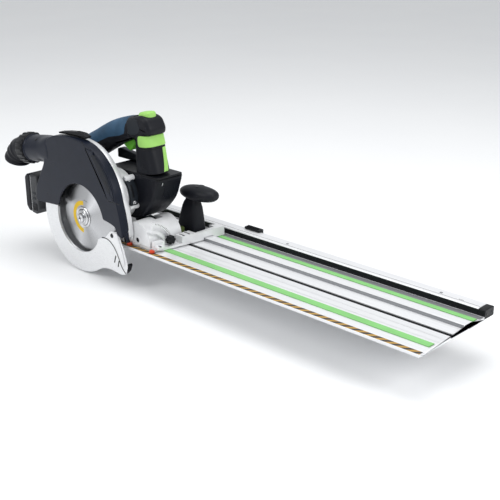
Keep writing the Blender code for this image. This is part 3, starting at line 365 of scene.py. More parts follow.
def lay(flat, height, axis):
    # Flat points and a height as places in the frame
    a, b = flat[:, 0], flat[:, 1]
    h = np.broadcast_to(height, a.shape)
    return np.stack({"X": (h, a, b), "Y": (a, h, b), "Z": (a, b, h)}[axis], 1)


def slab(loop, low, high, edge=0.8 * mm, axis="Y", steps=3, taper=0.0):
    # A closed outline carried between two heights; both rims are quarter rounds
    theta = np.linspace(0, np.pi / 2, steps + 1)
    rings = [(edge + 0.5 * mm, low), *[(edge * (1 - math.sin(t)), low + edge * (1 - math.cos(t))) for t in theta]]
    rings += [(taper + edge * (1 - math.cos(t)), high - edge * (1 - math.sin(t))) for t in theta]
    rings += [(taper + edge + 0.5 * mm, high)]
    return tube(np.stack([lay(inward(loop, d), h, axis) for d, h in rings]))


def turnedShape(profile, centre, direction, sides=64, closed=False):
    # A profile of (radius, distance along the axis) turned round the axis
    axis = np.array(direction, float) / np.linalg.norm(direction)
    side = np.cross(axis, (0, 0, 1) if abs(axis[2]) < 0.9 else (1, 0, 0))
    side /= np.linalg.norm(side)
    other = np.cross(axis, side)
    a = np.linspace(0, 2 * np.pi, sides, endpoint=False)
    around = np.cos(a)[:, None] * side + np.sin(a)[:, None] * other
    p = np.array(profile, float)
    rings = np.array(centre) + p[:, 1][:, None, None] * axis + p[:, 0][:, None, None] * around[None]
    return tube(rings, not closed, closed)


def ovalSweep(spine, across, tall, power=2.4, sides=40, side=(0, 1, 0)):
    # Superellipses square to a line: half width along the side vector, half height along the line's normal
    spine = np.array(spine, float)
    run = np.gradient(spine, axis=0)
    run /= np.linalg.norm(run, axis=1, keepdims=True)
    lateral = np.broadcast_to(np.array(side, float), spine.shape)
    normal = np.cross(run, lateral)
    normal /= np.linalg.norm(normal, axis=1, keepdims=True)
    a = np.linspace(0, 2 * np.pi, sides, endpoint=False)
    p = np.broadcast_to(power, (len(spine),))[:, None]
    cx = np.sign(np.cos(a)) * np.abs(np.cos(a)) ** (2 / p)
    cy = np.sign(np.sin(a)) * np.abs(np.sin(a)) ** (2 / p)
    w = np.broadcast_to(across, (len(spine),))[:, None] * cx
    h = np.broadcast_to(tall, (len(spine),))[:, None] * cy
    return tube(spine[:, None] + w[..., None] * lateral[:, None] + h[..., None] * normal[:, None])


def roundBox(low, high, radius=1.5 * mm, edge=0.8 * mm, axis="Z", taper=0.0):
    # A rounded rectangle between two corners, carried along one axis
    k = "XYZ".index(axis)
    i, j = [n for n in range(3) if n != k]
    corners = [(low[i], low[j]), (high[i], low[j]), (high[i], high[j]), (low[i], high[j])]
    return slab(roundLoop(corners, radius), low[k], high[k], edge, axis, taper=taper)


def rod(start, end, radius, edge=0.4 * mm, sides=32):
    # One radius turned round the line between two ends, less the edge at both rims
    start, end = np.array(start, float), np.array(end, float)
    length = np.linalg.norm(end - start)
    profile = [(radius - edge, 0), (radius, edge), (radius, length - edge), (radius - edge, length)]
    return turnedShape(profile, start, end - start, sides)


def piece(name, body, shapes, mats, stands=(), sharp=38.0, subdivide=0):
    # Shapes become one mesh; mats is one material or one for each shape
    mats = mats if isinstance(mats, (list, tuple)) else [mats] * len(shapes)
    kinds = list(dict.fromkeys(mats))
    verts, faces, index, start = [], [], [], 0
    for (v, f), mat in zip(shapes, mats):
        verts.append(np.asarray(v, float))
        faces += [[k + start for k in face] for face in f]
        index += [kinds.index(mat)] * len(f)
        start += len(v)
    mesh = bpy.data.meshes.new(name)
    mesh.from_pydata(np.vstack(verts).tolist(), [], faces)
    for mat in kinds:
        mesh.materials.append(mat)
    mesh.polygons.foreach_set("material_index", index)
    work = bmesh.new()
    work.from_mesh(mesh)
    bmesh.ops.recalc_face_normals(work, faces=work.faces)
    work.to_mesh(mesh)
    work.free()
    mesh.shade_smooth()
    mesh.set_sharp_from_angle(angle=math.radians(sharp))
    obj = bpy.data.objects.new(name, mesh)
    bpy.context.scene.collection.objects.link(obj)
    if subdivide:
        smooth = obj.modifiers.new("smooth", "SUBSURF")
        smooth.levels = smooth.render_levels = subdivide
    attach(obj, body)
    if stands:
        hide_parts(*stands)
    return obj


def repaint(mat, *names):
    for name in names:
        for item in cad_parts[name].material_slots:
            item.material = mat


def low(name):
    return np.array(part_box(name)[0])


def high(name):
    return np.array(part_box(name)[1])


axisX, axisZ = 0.0, bladeAxis[1]

# The rail

rail = {"lip": 0.35 * mm, "groove": 57.5 * mm, "grooveWide": 7.5 * mm, "grooveDeep": 2.0 * mm,
        "rib": 87.0 * mm, "ribWide": 16.0 * mm, "ribWall": 1.2 * mm}


def railLoop():
    # The rail's section from its near lip over the plate, groove and hollow rib to the far edge
    lowY, top = low("rail_profile")[1], low("glide_strip_wide")[2] - 0.3 * mm
    foot, far, roof = low("rail_profile")[2], high("rail_profile")[1], high("rail_profile")[2]
    g, gw, gd = rail["groove"], rail["grooveWide"], rail["grooveDeep"]
    r, rw, wall = rail["rib"], rail["ribWide"], rail["ribWall"]
    loop = [(lowY, foot), (lowY, top), (g, top), (g, top - gd), (g + gw, top - gd), (g + gw, top), (r, top), (r, roof),
            (r + rw, roof), (r + rw, top), (far, top), (far, foot), (r + rw - wall, foot), (r + rw - wall, roof - wall),
            (r + wall, roof - wall), (r + wall, foot)]
    return roundLoop(loop, rail["lip"], 3)


def buildRail():
    # The section carried along X; strips, a grey sheet of painted shade on the rib's near wall, and tape are rounded
    # boxes along the same run
    ends = (low("rail_profile")[0], high("rail_profile")[0])
    profile = slab(railLoop(), ends[0], ends[1], 0.2 * mm, "X", 1)
    top = low("glide_strip_wide")[2] - 0.3 * mm
    extras, mats = [], []
    for y in (62.0, 65.2):
        extras.append(roundBox((ends[0], (y - 4.4) * mm, top - 1.95 * mm), (ends[1] - 0.2 * mm, (y - 2.4) * mm, top - 0.15 * mm), 0.3 * mm, 0.2 * mm))
        mats.append(black)
    extras.append(roundBox((ends[0], 58.2 * mm, top - 1.98 * mm), (ends[1] - 0.3 * mm, 64.6 * mm, top - 1.2 * mm), 0.3 * mm, 0.2 * mm))
    mats.append(black)
    r = rail["rib"]
    # Painted shade: a thin grey sheet over the whole near wall of the rib
    extras.append(roundBox((ends[0] + 0.2 * mm, r - 0.25 * mm, top + 0.1 * mm), (ends[1] - 0.4 * mm, r + 0.3 * mm, top + 4.6 * mm), 0.2 * mm, 0.1 * mm))
    mats.append(railGreyAndShade)
    extras.append(roundBox((ends[0], 124.0 * mm, top - 0.2 * mm), (ends[1] - 0.3 * mm, 133.0 * mm, top + 0.25 * mm), 0.5 * mm, 0.1 * mm))
    mats.append(railGreyAndShade)
    for y in (33.0, 45.0):
        extras.append(roundBox((ends[0], (y - 0.35) * mm, top - 0.2 * mm), (ends[1] - 0.2 * mm, (y + 0.35) * mm, top + 0.12 * mm), 0.2 * mm, 0.05 * mm))
        mats.append(railMetal)
    piece("railExtrusion", "rail", [profile] + extras, [railMetal] + mats, ["rail_profile"])
    a, b = low("splinter_strip"), high("splinter_strip")
    strip = roundLoop([(a[1], a[2]), (b[1], a[2]), (b[1], b[2]), (a[1] + 0.5 * mm, b[2]), (a[1], b[2] - 0.8 * mm)], 0.2 * mm, 2)
    lip = roundBox((a[0], a[1] + 0.05 * mm, a[2]), (b[0], a[1] + 1.1 * mm, a[2] + 1.2 * mm), 0.2 * mm, 0.1 * mm)
    tape = roundBox((a[0] + 1 * mm, a[1] + 0.6 * mm, b[2] - 0.1 * mm), (b[0] - 1 * mm, b[1] - 0.4 * mm, b[2] + 0.12 * mm), 0.4 * mm, 0.05 * mm)
    piece("splinterStrip", "rail", [slab(strip, a[0], b[0], 0.15 * mm, "X", 1), lip, tape], [railMetal, foam, hazard], ["splinter_strip"])
    for name in ("glide_strip_wide", "glide_strip_narrow"):
        a, b = low(name), high(name)
        loop = roundLoop([(a[1], a[2]), (b[1], a[2]), (b[1] - 0.3 * mm, b[2]), (a[1] + 0.3 * mm, b[2])], 0.3 * mm, 3)
        piece(name.replace("_", " ").title().replace(" ", "") + "Smooth", "rail", [slab(loop, a[0], b[0], 0.3 * mm, "X", 2)], glideGreen, [name])
    repaint(foam, "grip_strip_near", "grip_strip_far")


def buildHousing():
    # An open trough section and a lid section carried along X, closed by outlines carried across the ends
    a, b = low("rail_housing"), high("rail_housing")
    wall, foot = 2.0 * mm, 2.2 * mm
    loop = roundLoop([(a[1], a[2]), (a[1], b[2]), (a[1] + wall, b[2]), (a[1] + wall, a[2] + foot), (b[1] - wall, a[2] + foot), (b[1] - wall, b[2]), (b[1], b[2]), (b[1], a[2])], 0.35 * mm, 2)
    piece("housingTrough", "rail", [slab(loop, a[0], b[0], 0.15 * mm, "X", 1)], black, ["rail_housing"])
    a, b = low("housing_cover"), high("housing_cover")
    loop = roundLoop([(a[1], a[2]), (a[1] + 1.0 * mm, b[2]), (b[1] - 1.4 * mm, b[2]), (b[1], a[2])], 0.5 * mm, 3)
    groove = roundBox((a[0] + 1 * mm, a[1] + 5.2 * mm, b[2] - 0.1 * mm), (b[0] - 1 * mm, a[1] + 5.9 * mm, b[2] + 0.1 * mm), 0.3 * mm, 0.05 * mm)
    scale = [roundBox((x * mm, a[1] + 7.5 * mm, b[2] - 0.1 * mm), ((x + 7.5) * mm, a[1] + 8.3 * mm, b[2] + 0.08 * mm), 0.2 * mm, 0.04 * mm) for x in (588,)]
    stud = [turnedShape([(2.2 * mm, -0.3 * mm), (2.2 * mm, 0.35 * mm), (1.7 * mm, 0.6 * mm)], (x * mm, a[1] + 10 * mm, b[2]), (0, 0, 1), 24) for x in (-30, 290, 560)]
    piece("housingLid", "rail", [slab(loop, a[0], b[0], 0.2 * mm, "X", 1), groove] + scale + stud,
          [railMetal, railGreyAndShade] + [black] * len(scale) + [railGreyAndShade] * len(stud), ["housing_cover"])
    for name, outward in (("end_cap_rear", -1), ("end_cap_front", 1)):
        a, b = low(name), high(name)
        loop = roundLoop([(a[1], a[2]), (a[1], b[2] - 1.4 * mm), (a[1] + 2 * mm, b[2]), (b[1] - 2 * mm, b[2]), (b[1], b[2] - 1.4 * mm), (b[1], a[2])], 1.0 * mm, 4)
        shapes = [slab(loop, a[0], b[0], 0.8 * mm, "X", 3)]
        face = b[0] if outward > 0 else a[0]
        for y in (5.0, 17.0):
            shapes.append(turnedShape([(1.9 * mm, -1.0 * mm), (1.9 * mm, 0.0), (1.1 * mm, 0.25 * mm)], (face, a[1] + y * mm, 0.5 * (a[2] + b[2])), (outward, 0, 0), 20))
        piece(name.replace("_", " ").title().replace(" ", "") + "Moulded", "rail", shapes, black, [name])
    a, b = low("travel_stop"), high("travel_stop")
    skirt = roundBox((a[0], b[1] - 3.3 * mm, a[2]), (b[0], b[1], b[2] - 1.6 * mm), 1.2 * mm, 0.6 * mm)
    crown = roundBox((a[0], a[1], b[2] - 5.2 * mm), (b[0], b[1] - 1.5 * mm, b[2] - 1.8 * mm), 2.0 * mm, 0.9 * mm)
    ribs = [roundBox((a[0] + (4 + 3.4 * k) * mm, a[1] + 1.2 * mm, b[2] - 2.4 * mm), (a[0] + (5.5 + 3.4 * k) * mm, b[1] - 2.6 * mm, b[2] - 0.4 * mm), 0.5 * mm, 0.4 * mm) for k in range(7)]
    piece("travelStopGrip", "travel_stop", [skirt, crown] + ribs, black, ["travel_stop"])


buildRail()
buildHousing()
print("rail")

# The guard, its dust port and its trim

guard = {"face": -28.0, "seam": -13.6, "wall": 1.6, "edge": 1.3, "step": 2.2,
         "crown": [(-3, 114.2), (3.2, 113.9), (12.8, 113.4), (24.7, 115.2), (31, 118.5), (37.2, 122), (46.3, 126.2), (53.3, 128.8),
                   (59.8, 130.9), (65.9, 132.1), (71.4, 132.5), (78.7, 131.9), (87.3, 131.1), (95, 131.2), (102.1, 132.2), (109.4, 134.8)]}


def crownLine(inset=0.0, count=70):
    # The guard's edge from its front foot over the top, in mm round the blade's axis
    angle, reach = smoothLine(guard["crown"], count).T
    a = np.radians(angle)
    return np.stack([(reach - inset) * np.cos(a), 28 + (reach - inset) * np.sin(a)], 1)


def coverLoop():
    # Crown, front foot, blade arch and rear foot as one closed line in the plane of the blade, its corners eased
    foot = roundLoop([(114.0, 40), (113.6, 21.8), (101.5, 27.8), (98.5, 38.6), (84, 42.0), (70.6, 44.5)], [1, 4, 3, 2, 6, 1], 5)[6:-6]
    arch = arcPoints((14.2, 31.5), 56.8, 12, 168, 50)
    heel = roundLoop([(-42.4, 52), (-42.6, 41.5), (-104.5, 37.0), (-101.5, 62), (-86, 88), (-76, 104), (-70, 126), (-64, 146.5)], [6, 4, 6, 8, 12, 8, 8, 1], 6)[7:-7]
    crown = crownLine()[::-1]
    loop = evenLoop(np.vstack([crown[crown[:, 1] > 31], foot, arch, heel, [(-64, 146.5)]]), 460)
    for _ in range(6):
        loop = 0.5 * loop + 0.25 * (np.roll(loop, 1, 0) + np.roll(loop, -1, 0))
    return loop * mm


def buildCover():
    # Rings of the closed line: inset = edge * (1 - sin t) at depth edge * (1 - cos t), then straight back, deep at the crown
    loop = coverLoop()
    x, z = loop[:, 0] / mm, loop[:, 1] / mm
    away = np.hypot(x - 14.2, z - 31.5)
    crown = ((np.hypot(x, z - 28) > 112) & (z > 26)) | ((x < -45) & (away > 60) & (z > 58))
    soft = np.convolve(np.r_[crown[-9:], crown, crown[:9]].astype(float), np.ones(19) / 19, "valid")
    depth = (2.6 + (guard["seam"] - guard["face"] - 2.6) * np.clip(soft * 1.6 - 0.3, 0, 1)) * mm
    edge = guard["edge"] * mm
    theta = np.linspace(0, np.pi / 2, 6)
    face = guard["face"] * mm
    sizes = np.where(soft > 0.5, edge, 1.0 * mm)
    sizes = np.convolve(np.r_[sizes[-9:], sizes, sizes[:9]], np.ones(19) / 19, "valid")
    rings = [lay(inward(loop, sizes + 0.3 * mm), face, "Y")]
    rings += [lay(inward(loop, sizes * (1 - math.sin(t))), face + sizes * (1 - math.cos(t)), "Y") for t in theta]
    wall = guard["wall"] * mm
    for d, h in ((0.0, depth - 0.4 * mm), (0.4 * mm, depth), (wall, depth), (wall, np.minimum(wall, depth)), (wall + 0.3 * mm, wall)):
        rings.append(lay(inward(loop, d) if d else loop, face + h, "Y"))
    shell = tube(np.stack(rings))
    trims, mats = [], []
    left = smoothLine([(36.6, 149.7), (48.4, 133.4), (60.1, 117), (72.9, 99.4), (79.5, 87.5), (84.2, 77.6)], 30)
    ridge = crownLine(3.4)[(crownLine()[:, 0] > 50) & (crownLine()[:, 1] > 78)]
    strip = roundLoop(np.vstack([left, ridge]) * mm, 0.4 * mm, 2)
    trims.append(slab(strip, face - 0.8 * mm, face + 0.6 * mm, 0.5 * mm))
    mats.append(navy)
    edgeLine = np.vstack([[(29.5, 158.0)], left, [(92, 76.8), (112.6, 76.9)]])
    run = np.gradient(edgeLine, axis=0)
    run /= np.linalg.norm(run, axis=1, keepdims=True)
    aside = np.stack([-run[:, 1], run[:, 0]], 1) * 0.55
    trims.append(slab(np.vstack([edgeLine + aside, (edgeLine - aside)[::-1]]) * mm, face - 0.12 * mm, face + 0.3 * mm, 0.05 * mm))
    mats.append(black)
    inner = roundLoop(np.array([(45.5, 146.3), (60.5, 126.0), (76.5, 103.5), (84.5, 89.5), (90.5, 88.5), (94.0, 96), (86.0, 112.5), (72.5, 129.5), (55.5, 144.5)]) * mm, 2.4 * mm, 4)
    trims.append(slab(inner, face - 1.15 * mm, face, 0.3 * mm))
    mats.append(slate)
    sunk = inward(evenLoop(inner, 90), 0.7 * mm)
    trims.append(slab(sunk, face - 1.3 * mm, face, 0.3 * mm))
    mats.append(navyPanel)
    tab = roundLoop(np.array([(47.5, 148), (56, 148.4), (57.5, 142.5), (49.5, 141)]) * mm, 1.2 * mm, 4)
    trims.append(slab(tab, face - 2.2 * mm, face, 0.5 * mm))
    mats.append(navy)
    for x0, z0, x1, z1, w in ((81.5, 107.5, 84.5, 103.0, 1.7), (84.5, 103.0, 90.0, 94.0, 0.9)):
        d = np.array([x1 - x0, z1 - z0]) / math.hypot(x1 - x0, z1 - z0)
        n = np.array([-d[1], d[0]]) * w
        hole = np.array([(x0, z0) - n, (x1, z1) - n, (x1, z1) + n, (x0, z0) + n]) * mm
        trims.append(slab(roundLoop(hole, 0.7 * mm, 3), face - 1.42 * mm, face, 0.05 * mm))
        mats.append(black)
    toe = roundLoop(np.array([(113.9, 30), (114.1, 14.6), (109.5, 20.5), (106.5, 30)]) * mm, 0.8 * mm, 4)
    trims.append(slab(toe, face + 7.5 * mm, guard["seam"] * mm, 1.6 * mm))
    mats.append(navy)
    piece("guardCoverShell", "saw_unit", [shell] + trims, [navy] + mats, ["guard_cover", "guard_panel"])


bossPlaces = ((26, 147), (76, 115), (99, 70), (-60, 120), (-92, 55))


def buildCasting():
    # The crown line moved inwards is the plate; its rim runs between that line and one 3.4 mm nearer the axis
    outer = crownLine(guard["step"], 60)[::-1]
    rest = np.array([(111.4, 14.4), (-60, 13), (-103.5, 36), (-99.5, 70), (-83, 104), (-66, 140)], float)
    loop = evenLoop(roundLoop(np.vstack([outer, rest]), 4.0, 4), 340) * mm
    seam, back = low("guard_casting")[1], high("guard_casting")[1]
    wallPlate = slab(inward(loop, 0.5 * mm), back - 2.9 * mm, back, 0.8 * mm)
    outerLine = outer * mm
    toAxis = np.array([0.0, axisZ]) - outerLine
    toAxis /= np.linalg.norm(toAxis, axis=1, keepdims=True)
    outline = np.vstack([outerLine, (outerLine + toAxis * 3.4 * mm)[::-1]])
    rim = slab(outline, seam, back - 0.2 * mm, 0.7 * mm)
    bosses = [rod((x0 * mm, seam + 1 * mm, z0 * mm), (x0 * mm, back + 0.6 * mm, z0 * mm), 4.2 * mm, 0.6 * mm) for x0, z0 in bossPlaces]
    boltRings = [rod((x0 * mm, back, z0 * mm), (x0 * mm, back + 2.2 * mm, z0 * mm), 2.6 * mm, 0.5 * mm, 24) for x0, z0 in bossPlaces]
    ribs = []
    for angle in (28, 46, 64, 82):
        a = math.radians(angle)
        p, q = np.array([math.cos(a), math.sin(a)]) * 90 + (0, 28), np.array([math.cos(a), math.sin(a)]) * 110 + (0, 28)
        n = np.array([-math.sin(a), math.cos(a)]) * 1.1
        ribs.append(slab(roundLoop(np.array([p - n, q - n, q + n, p + n]) * mm, 0.6 * mm, 3), back - 0.5 * mm, back + 2.6 * mm, 0.5 * mm))
    piece("guardCastingShell", "saw_unit", [wallPlate, rim] + bosses + boltRings + ribs,
          [silverCast] * (2 + len(bosses)) + [steel] * len(boltRings) + [silverCast] * len(ribs), ["guard_casting"])
    wedge = roundLoop(np.array([(-40.5, 159.0), (-39, 161.0), (-18, 165.0), (3, 167.4), (21, 167.4), (29.8, 164.0), (29.0, 160.6), (24, 159.3), (10, 160.2), (-10, 160.0)]) * mm, 1.6 * mm, 4)
    a, b = low("guard_lever"), high("guard_lever")
    lever = slab(wedge, a[1], b[1], 1.6 * mm)
    grips = [roundBox(((4 + 3.6 * k) * mm, a[1] + 2 * mm, 165.8 * mm), ((5.4 + 3.6 * k) * mm, b[1] - 2 * mm, 168.0 * mm), 0.5 * mm, 0.4 * mm) for k in range(5)]
    piece("guardLeverWedge", "guard_lever", [lever] + grips, black, ["guard_lever"])


duct = {"radius": 22.0, "length": 78.0, "slope": 8.5, "rear": -129.4, "rearZ": 116.9}


def buildDuct():
    # A round pipe that flattens into the cover as it runs forwards
    t = np.linspace(0, 1, 60)
    ease = np.clip((t - 0.45) / 0.5, 0, 1)
    ease = ease * ease * (3 - 2 * ease)
    dive = np.clip((t - 0.80) / 0.20, 0, 1) ** 2
    x = duct["rear"] + duct["length"] * t
    roof = 28 + np.sqrt(np.maximum(133.6 ** 2 - x ** 2, 0)) - 0.8
    middle = 117.0 + (x - duct["rear"]) * 0.1495
    top = np.minimum(middle + duct["radius"] + 4.0 * ease, np.maximum(roof, middle + 21.5))
    foot = middle - duct["radius"] - 1.0 * ease
    spine = np.stack([x, -7.0 - 10.5 * ease + 4.5 * dive, 0.5 * (top + foot)], 1) * mm
    across = (duct["radius"] - 11.0 * ease) * mm
    tall = 0.5 * (top - foot) * mm
    body = ovalSweep(spine, across, tall, 2.0 + 1.6 * ease, 64)
    lip = turnedShape([(21.2 * mm, 0), (22.9 * mm, 0.3 * mm), (22.9 * mm, 3.2 * mm), (22.0 * mm, 4.4 * mm)], spine[0] - np.array([0.2, 0, 0.03]) * mm, spine[1] - spine[0], 56)
    hole = turnedShape([(3.0 * mm, -0.4 * mm), (3.0 * mm, 0.5 * mm), (2.2 * mm, 0.8 * mm)], (-102 * mm, -20.5 * mm, 137.6 * mm), (-0.1, -0.55, 0.83), 20)
    piece("dustDuctPipe", "saw_unit", [body, lip, hole], [navy, navy, black], ["dust_duct"])


def buildCollar():
    # A turned ring whose radius rises and falls as ribs round it
    slope = math.radians(duct["slope"])
    axis = np.array([-math.cos(slope), 0, -math.sin(slope)])
    start = np.array([duct["rear"] * mm, -7.0 * mm, duct["rearZ"] * mm]) + axis * 0.3 * mm
    side, other = np.array([0.0, 1.0, 0.0]), np.cross(axis, (0, 1, 0))
    a = np.linspace(0, 2 * np.pi, 288, endpoint=False)
    profile = np.array([(19.5, 19.6), (19.5, 0.0), (23.6, 0.0), (24.6, 0.8), (25.2, 2.0), (25.2, 17.0), (24.4, 19.0), (22.4, 19.7)]) * mm
    ribbed = np.array([0, 0, 0, 0.3, 1.0, 1.0, 0.4, 0])[:, None]
    wave = np.clip(np.cos(a * 18) * 3.0, -1, 1)[None] * 0.75 * mm * ribbed
    radius = profile[:, :1] + wave
    around = np.cos(a)[:, None] * side + np.sin(a)[:, None] * other
    rings = start + profile[:, 1][:, None, None] * axis + radius[..., None] * around[None]
    piece("dustCollarRing", "saw_unit", [tube(rings, False, True)], black, ["dust_collar"])


def buildElbow():
    # A pipe bent round its collar's end, with two bands and a wide mouth, and its bore left open
    slope = math.radians(duct["slope"])
    axis = np.array([-math.cos(slope), 0, -math.sin(slope)])
    start = np.array([duct["rear"] * mm, -7.0 * mm, duct["rearZ"] * mm]) + axis * 20.3 * mm
    bend = slope + np.radians(62) * np.linspace(0, 1, 22)
    steps = np.stack([-np.cos(bend), np.zeros(22), -np.sin(bend)], 1) * 1.95 * mm
    spine = np.vstack([start, start + np.cumsum(steps, 0)])
    n = len(spine)
    radius = np.full(n, 20.4)
    radius[:2] = (21.5, 21.5)
    radius[9:11] = 21.4
    radius[14:16] = 21.4
    radius[-4:] = (21.8, 22.3, 22.3, 21.8)
    outer = ovalSweep(spine, radius * mm, radius * mm, 2.0, 60)[0].reshape(n, 60, 3)
    bore = ovalSweep(spine, 18.2 * mm, 18.2 * mm, 2.0, 60)[0].reshape(n, 60, 3)[::-1]
    rings = np.concatenate([outer, bore])
    piece("dustElbowPipe", "dust_elbow", [tube(rings, False, True)], softBlack, ["dust_elbow"])


buildCover()
buildCasting()
buildDuct()
buildCollar()
buildElbow()
print("guard")

# Blade, hub and the lower guard

blade = {"radius": 80.0, "teeth": 42, "root": 6.2, "bore": 10.0, "body": 1.2}


def buildBlade():
    # Tooth outline: radius as a function of the place within one pitch, steep in front and sloped behind
    yMid = 0.5 * (low("saw_blade")[1] + high("saw_blade")[1])
    per = 14
    n = blade["teeth"] * per
    u = (np.arange(n) % per) / per
    radius = np.interp(u, [0, 0.04, 0.30, 0.36, 0.62, 0.80, 0.95, 1.0], [0.0, 0.0, -1.6, -4.2, -blade["root"], -5.0, -1.4, 0.0]) + blade["radius"]
    a = -2 * np.pi * np.arange(n) / n
    rings = []
    half = blade["body"] / 2 * mm
    share = np.array([blade["bore"], 16.0, 26.0, 38.0, 52.0, 64.0, 72.0])
    for y in (yMid - half, yMid + half):
        grid = [np.full(n, s) for s in share] + [radius - 0.25, radius]
        rings.append(np.stack([np.stack([axisX + r * mm * np.cos(a), np.full(n, y), axisZ + r * mm * np.sin(a)], 1) for r in grid]))
    body = tube(np.concatenate([rings[0], rings[1][::-1]]), False, True)
    tips = []
    for k in range(blade["teeth"]):
        t = -2 * math.pi * (k + 0.02) / blade["teeth"]
        c, s = math.cos(t), math.sin(t)
        out, along = np.array([c, s]), np.array([s, -c])
        corners = [out * 80.0, out * 76.4, out * 76.6 + along * 1.5, out * 79.6 + along * 2.1]
        flat = np.array(corners) * mm + (axisX, axisZ)
        tips.append(tube(np.stack([lay(flat, yMid - 0.9 * mm, "Y"), lay(flat, yMid + 0.9 * mm, "Y")])))
    slots = []
    for k in range(6):
        t = math.radians(20 + 60 * k)
        line = [np.array([math.cos(t + 0.11 * w), math.sin(t + 0.11 * w)]) * (58 + 11 * w) for w in np.linspace(0, 1, 8)]
        line = np.array(line) + (0, 28)
        run = np.gradient(line, axis=0)
        run /= np.linalg.norm(run, axis=1, keepdims=True)
        n2 = np.stack([-run[:, 1], run[:, 0]], 1) * 0.25
        slots.append(slab(np.vstack([line + n2, (line - n2)[::-1]]) * mm, yMid - half - 0.06 * mm, yMid + half + 0.06 * mm, 0.02 * mm, "Y", 1))
    ring = np.vstack([arcPoints((0, 28), 26.6, 88, 265, 40), arcPoints((0, 28), 19.6, 265, 88, 34)]) * mm
    mark = slab(ring, yMid - half - 0.12 * mm, yMid - half + 0.05 * mm, 0.04 * mm, "Y", 1)
    thin = np.vstack([arcPoints((0, 28), 29.4, 66, 84, 16), arcPoints((0, 28), 28.9, 84, 66, 16)]) * mm
    mark2 = slab(thin, yMid - half - 0.10 * mm, yMid - half + 0.05 * mm, 0.04 * mm, "Y", 1)
    obj = piece("sawBladeGround", "blade", [body] + tips + slots + [mark, mark2],
                [bladeSteel] + [carbide] * len(tips) + [black] * len(slots) + [yellowPrint, greyPlastic], ["saw_blade"], 30.0)
    addPolarMap(obj)


def addPolarMap(obj):
    # The piece's map runs round the blade's axis one way and out from it the other, for the stretched highlight
    mesh = obj.data
    co = np.zeros(len(mesh.vertices) * 3)
    mesh.vertices.foreach_get("co", co)
    co = co.reshape(-1, 3)
    loops = np.zeros(len(mesh.loops), int)
    mesh.loops.foreach_get("vertex_index", loops)
    start = np.zeros(len(mesh.polygons), int)
    total = np.zeros(len(mesh.polygons), int)
    mesh.polygons.foreach_get("loop_start", start)
    mesh.polygons.foreach_get("loop_total", total)
    owner = np.repeat(np.arange(len(total)), total)
    angle = np.arctan2(co[:, 2] - axisZ, co[:, 0] - axisX)[loops]
    first = angle[start][owner]
    angle = first + (angle - first + np.pi) % (2 * np.pi) - np.pi
    radius = np.hypot(co[:, 0] - axisX, co[:, 2] - axisZ)[loops]
    layer = mesh.uv_layers.new(name="polar")
    layer.data.foreach_set("uv", np.stack([angle / (2 * np.pi), radius * 10], 1).ravel())


def ringLight(mat):
    # Stretch the highlight square to the grinding lines
    tangent = node(mat, "ShaderNodeTangent", direction_type="UV_MAP", uv_map="polar")
    link(mat, tangent.outputs["Tangent"], shaderIn(mat, "Tangent"))
    shaderIn(mat, "Anisotropic").default_value = 0.75


def buildHub():
    # Profiles of (radius, distance in front of the blade) turned round its axis
    near = low("saw_blade")[1]
    back = lambda d: near - d * mm
    centre = (axisX, 0, axisZ)
    washer = [(9.9, 0.3), (12.6, 0.3), (13.0, 0.8), (13.0, 2.2), (12.2, 3.0), (10.6, 3.3), (5.3, 3.3), (5.3, 0.3)]
    plateShape = turnedShape([(r * mm, -back(d)) for r, d in washer], centre, (0, -1, 0), 72, True)
    collar = turnedShape([(r * mm, -back(d)) for r, d in [(16.8, 0.25), (17.0, 0.6), (16.4, 1.2), (13.6, 1.2), (13.6, 0.25)]], centre, (0, -1, 0), 72, True)
    head = turnedShape([(r * mm, -back(d)) for r, d in [(6.8, 3.5), (9.6, 3.5), (9.6, 4.2), (7.6, 4.6), (7.4, 7.4), (6.6, 7.9), (3.4, 7.9), (3.0, 7.5), (3.0, 5.2), (0.02, 5.0)]], centre, (0, -1, 0), 64)
    piece("outerFlangeTurned", "blade", [plateShape, collar], chrome, ["outer_flange"])
    piece("bladeBoltHead", "blade", [head], chrome, ["blade_bolt"])
    repaint(chrome, "inner_flange", "spindle")


lower = {"radius": 86.5, "face": -22.5, "wall": 1.5, "open": 54.0}


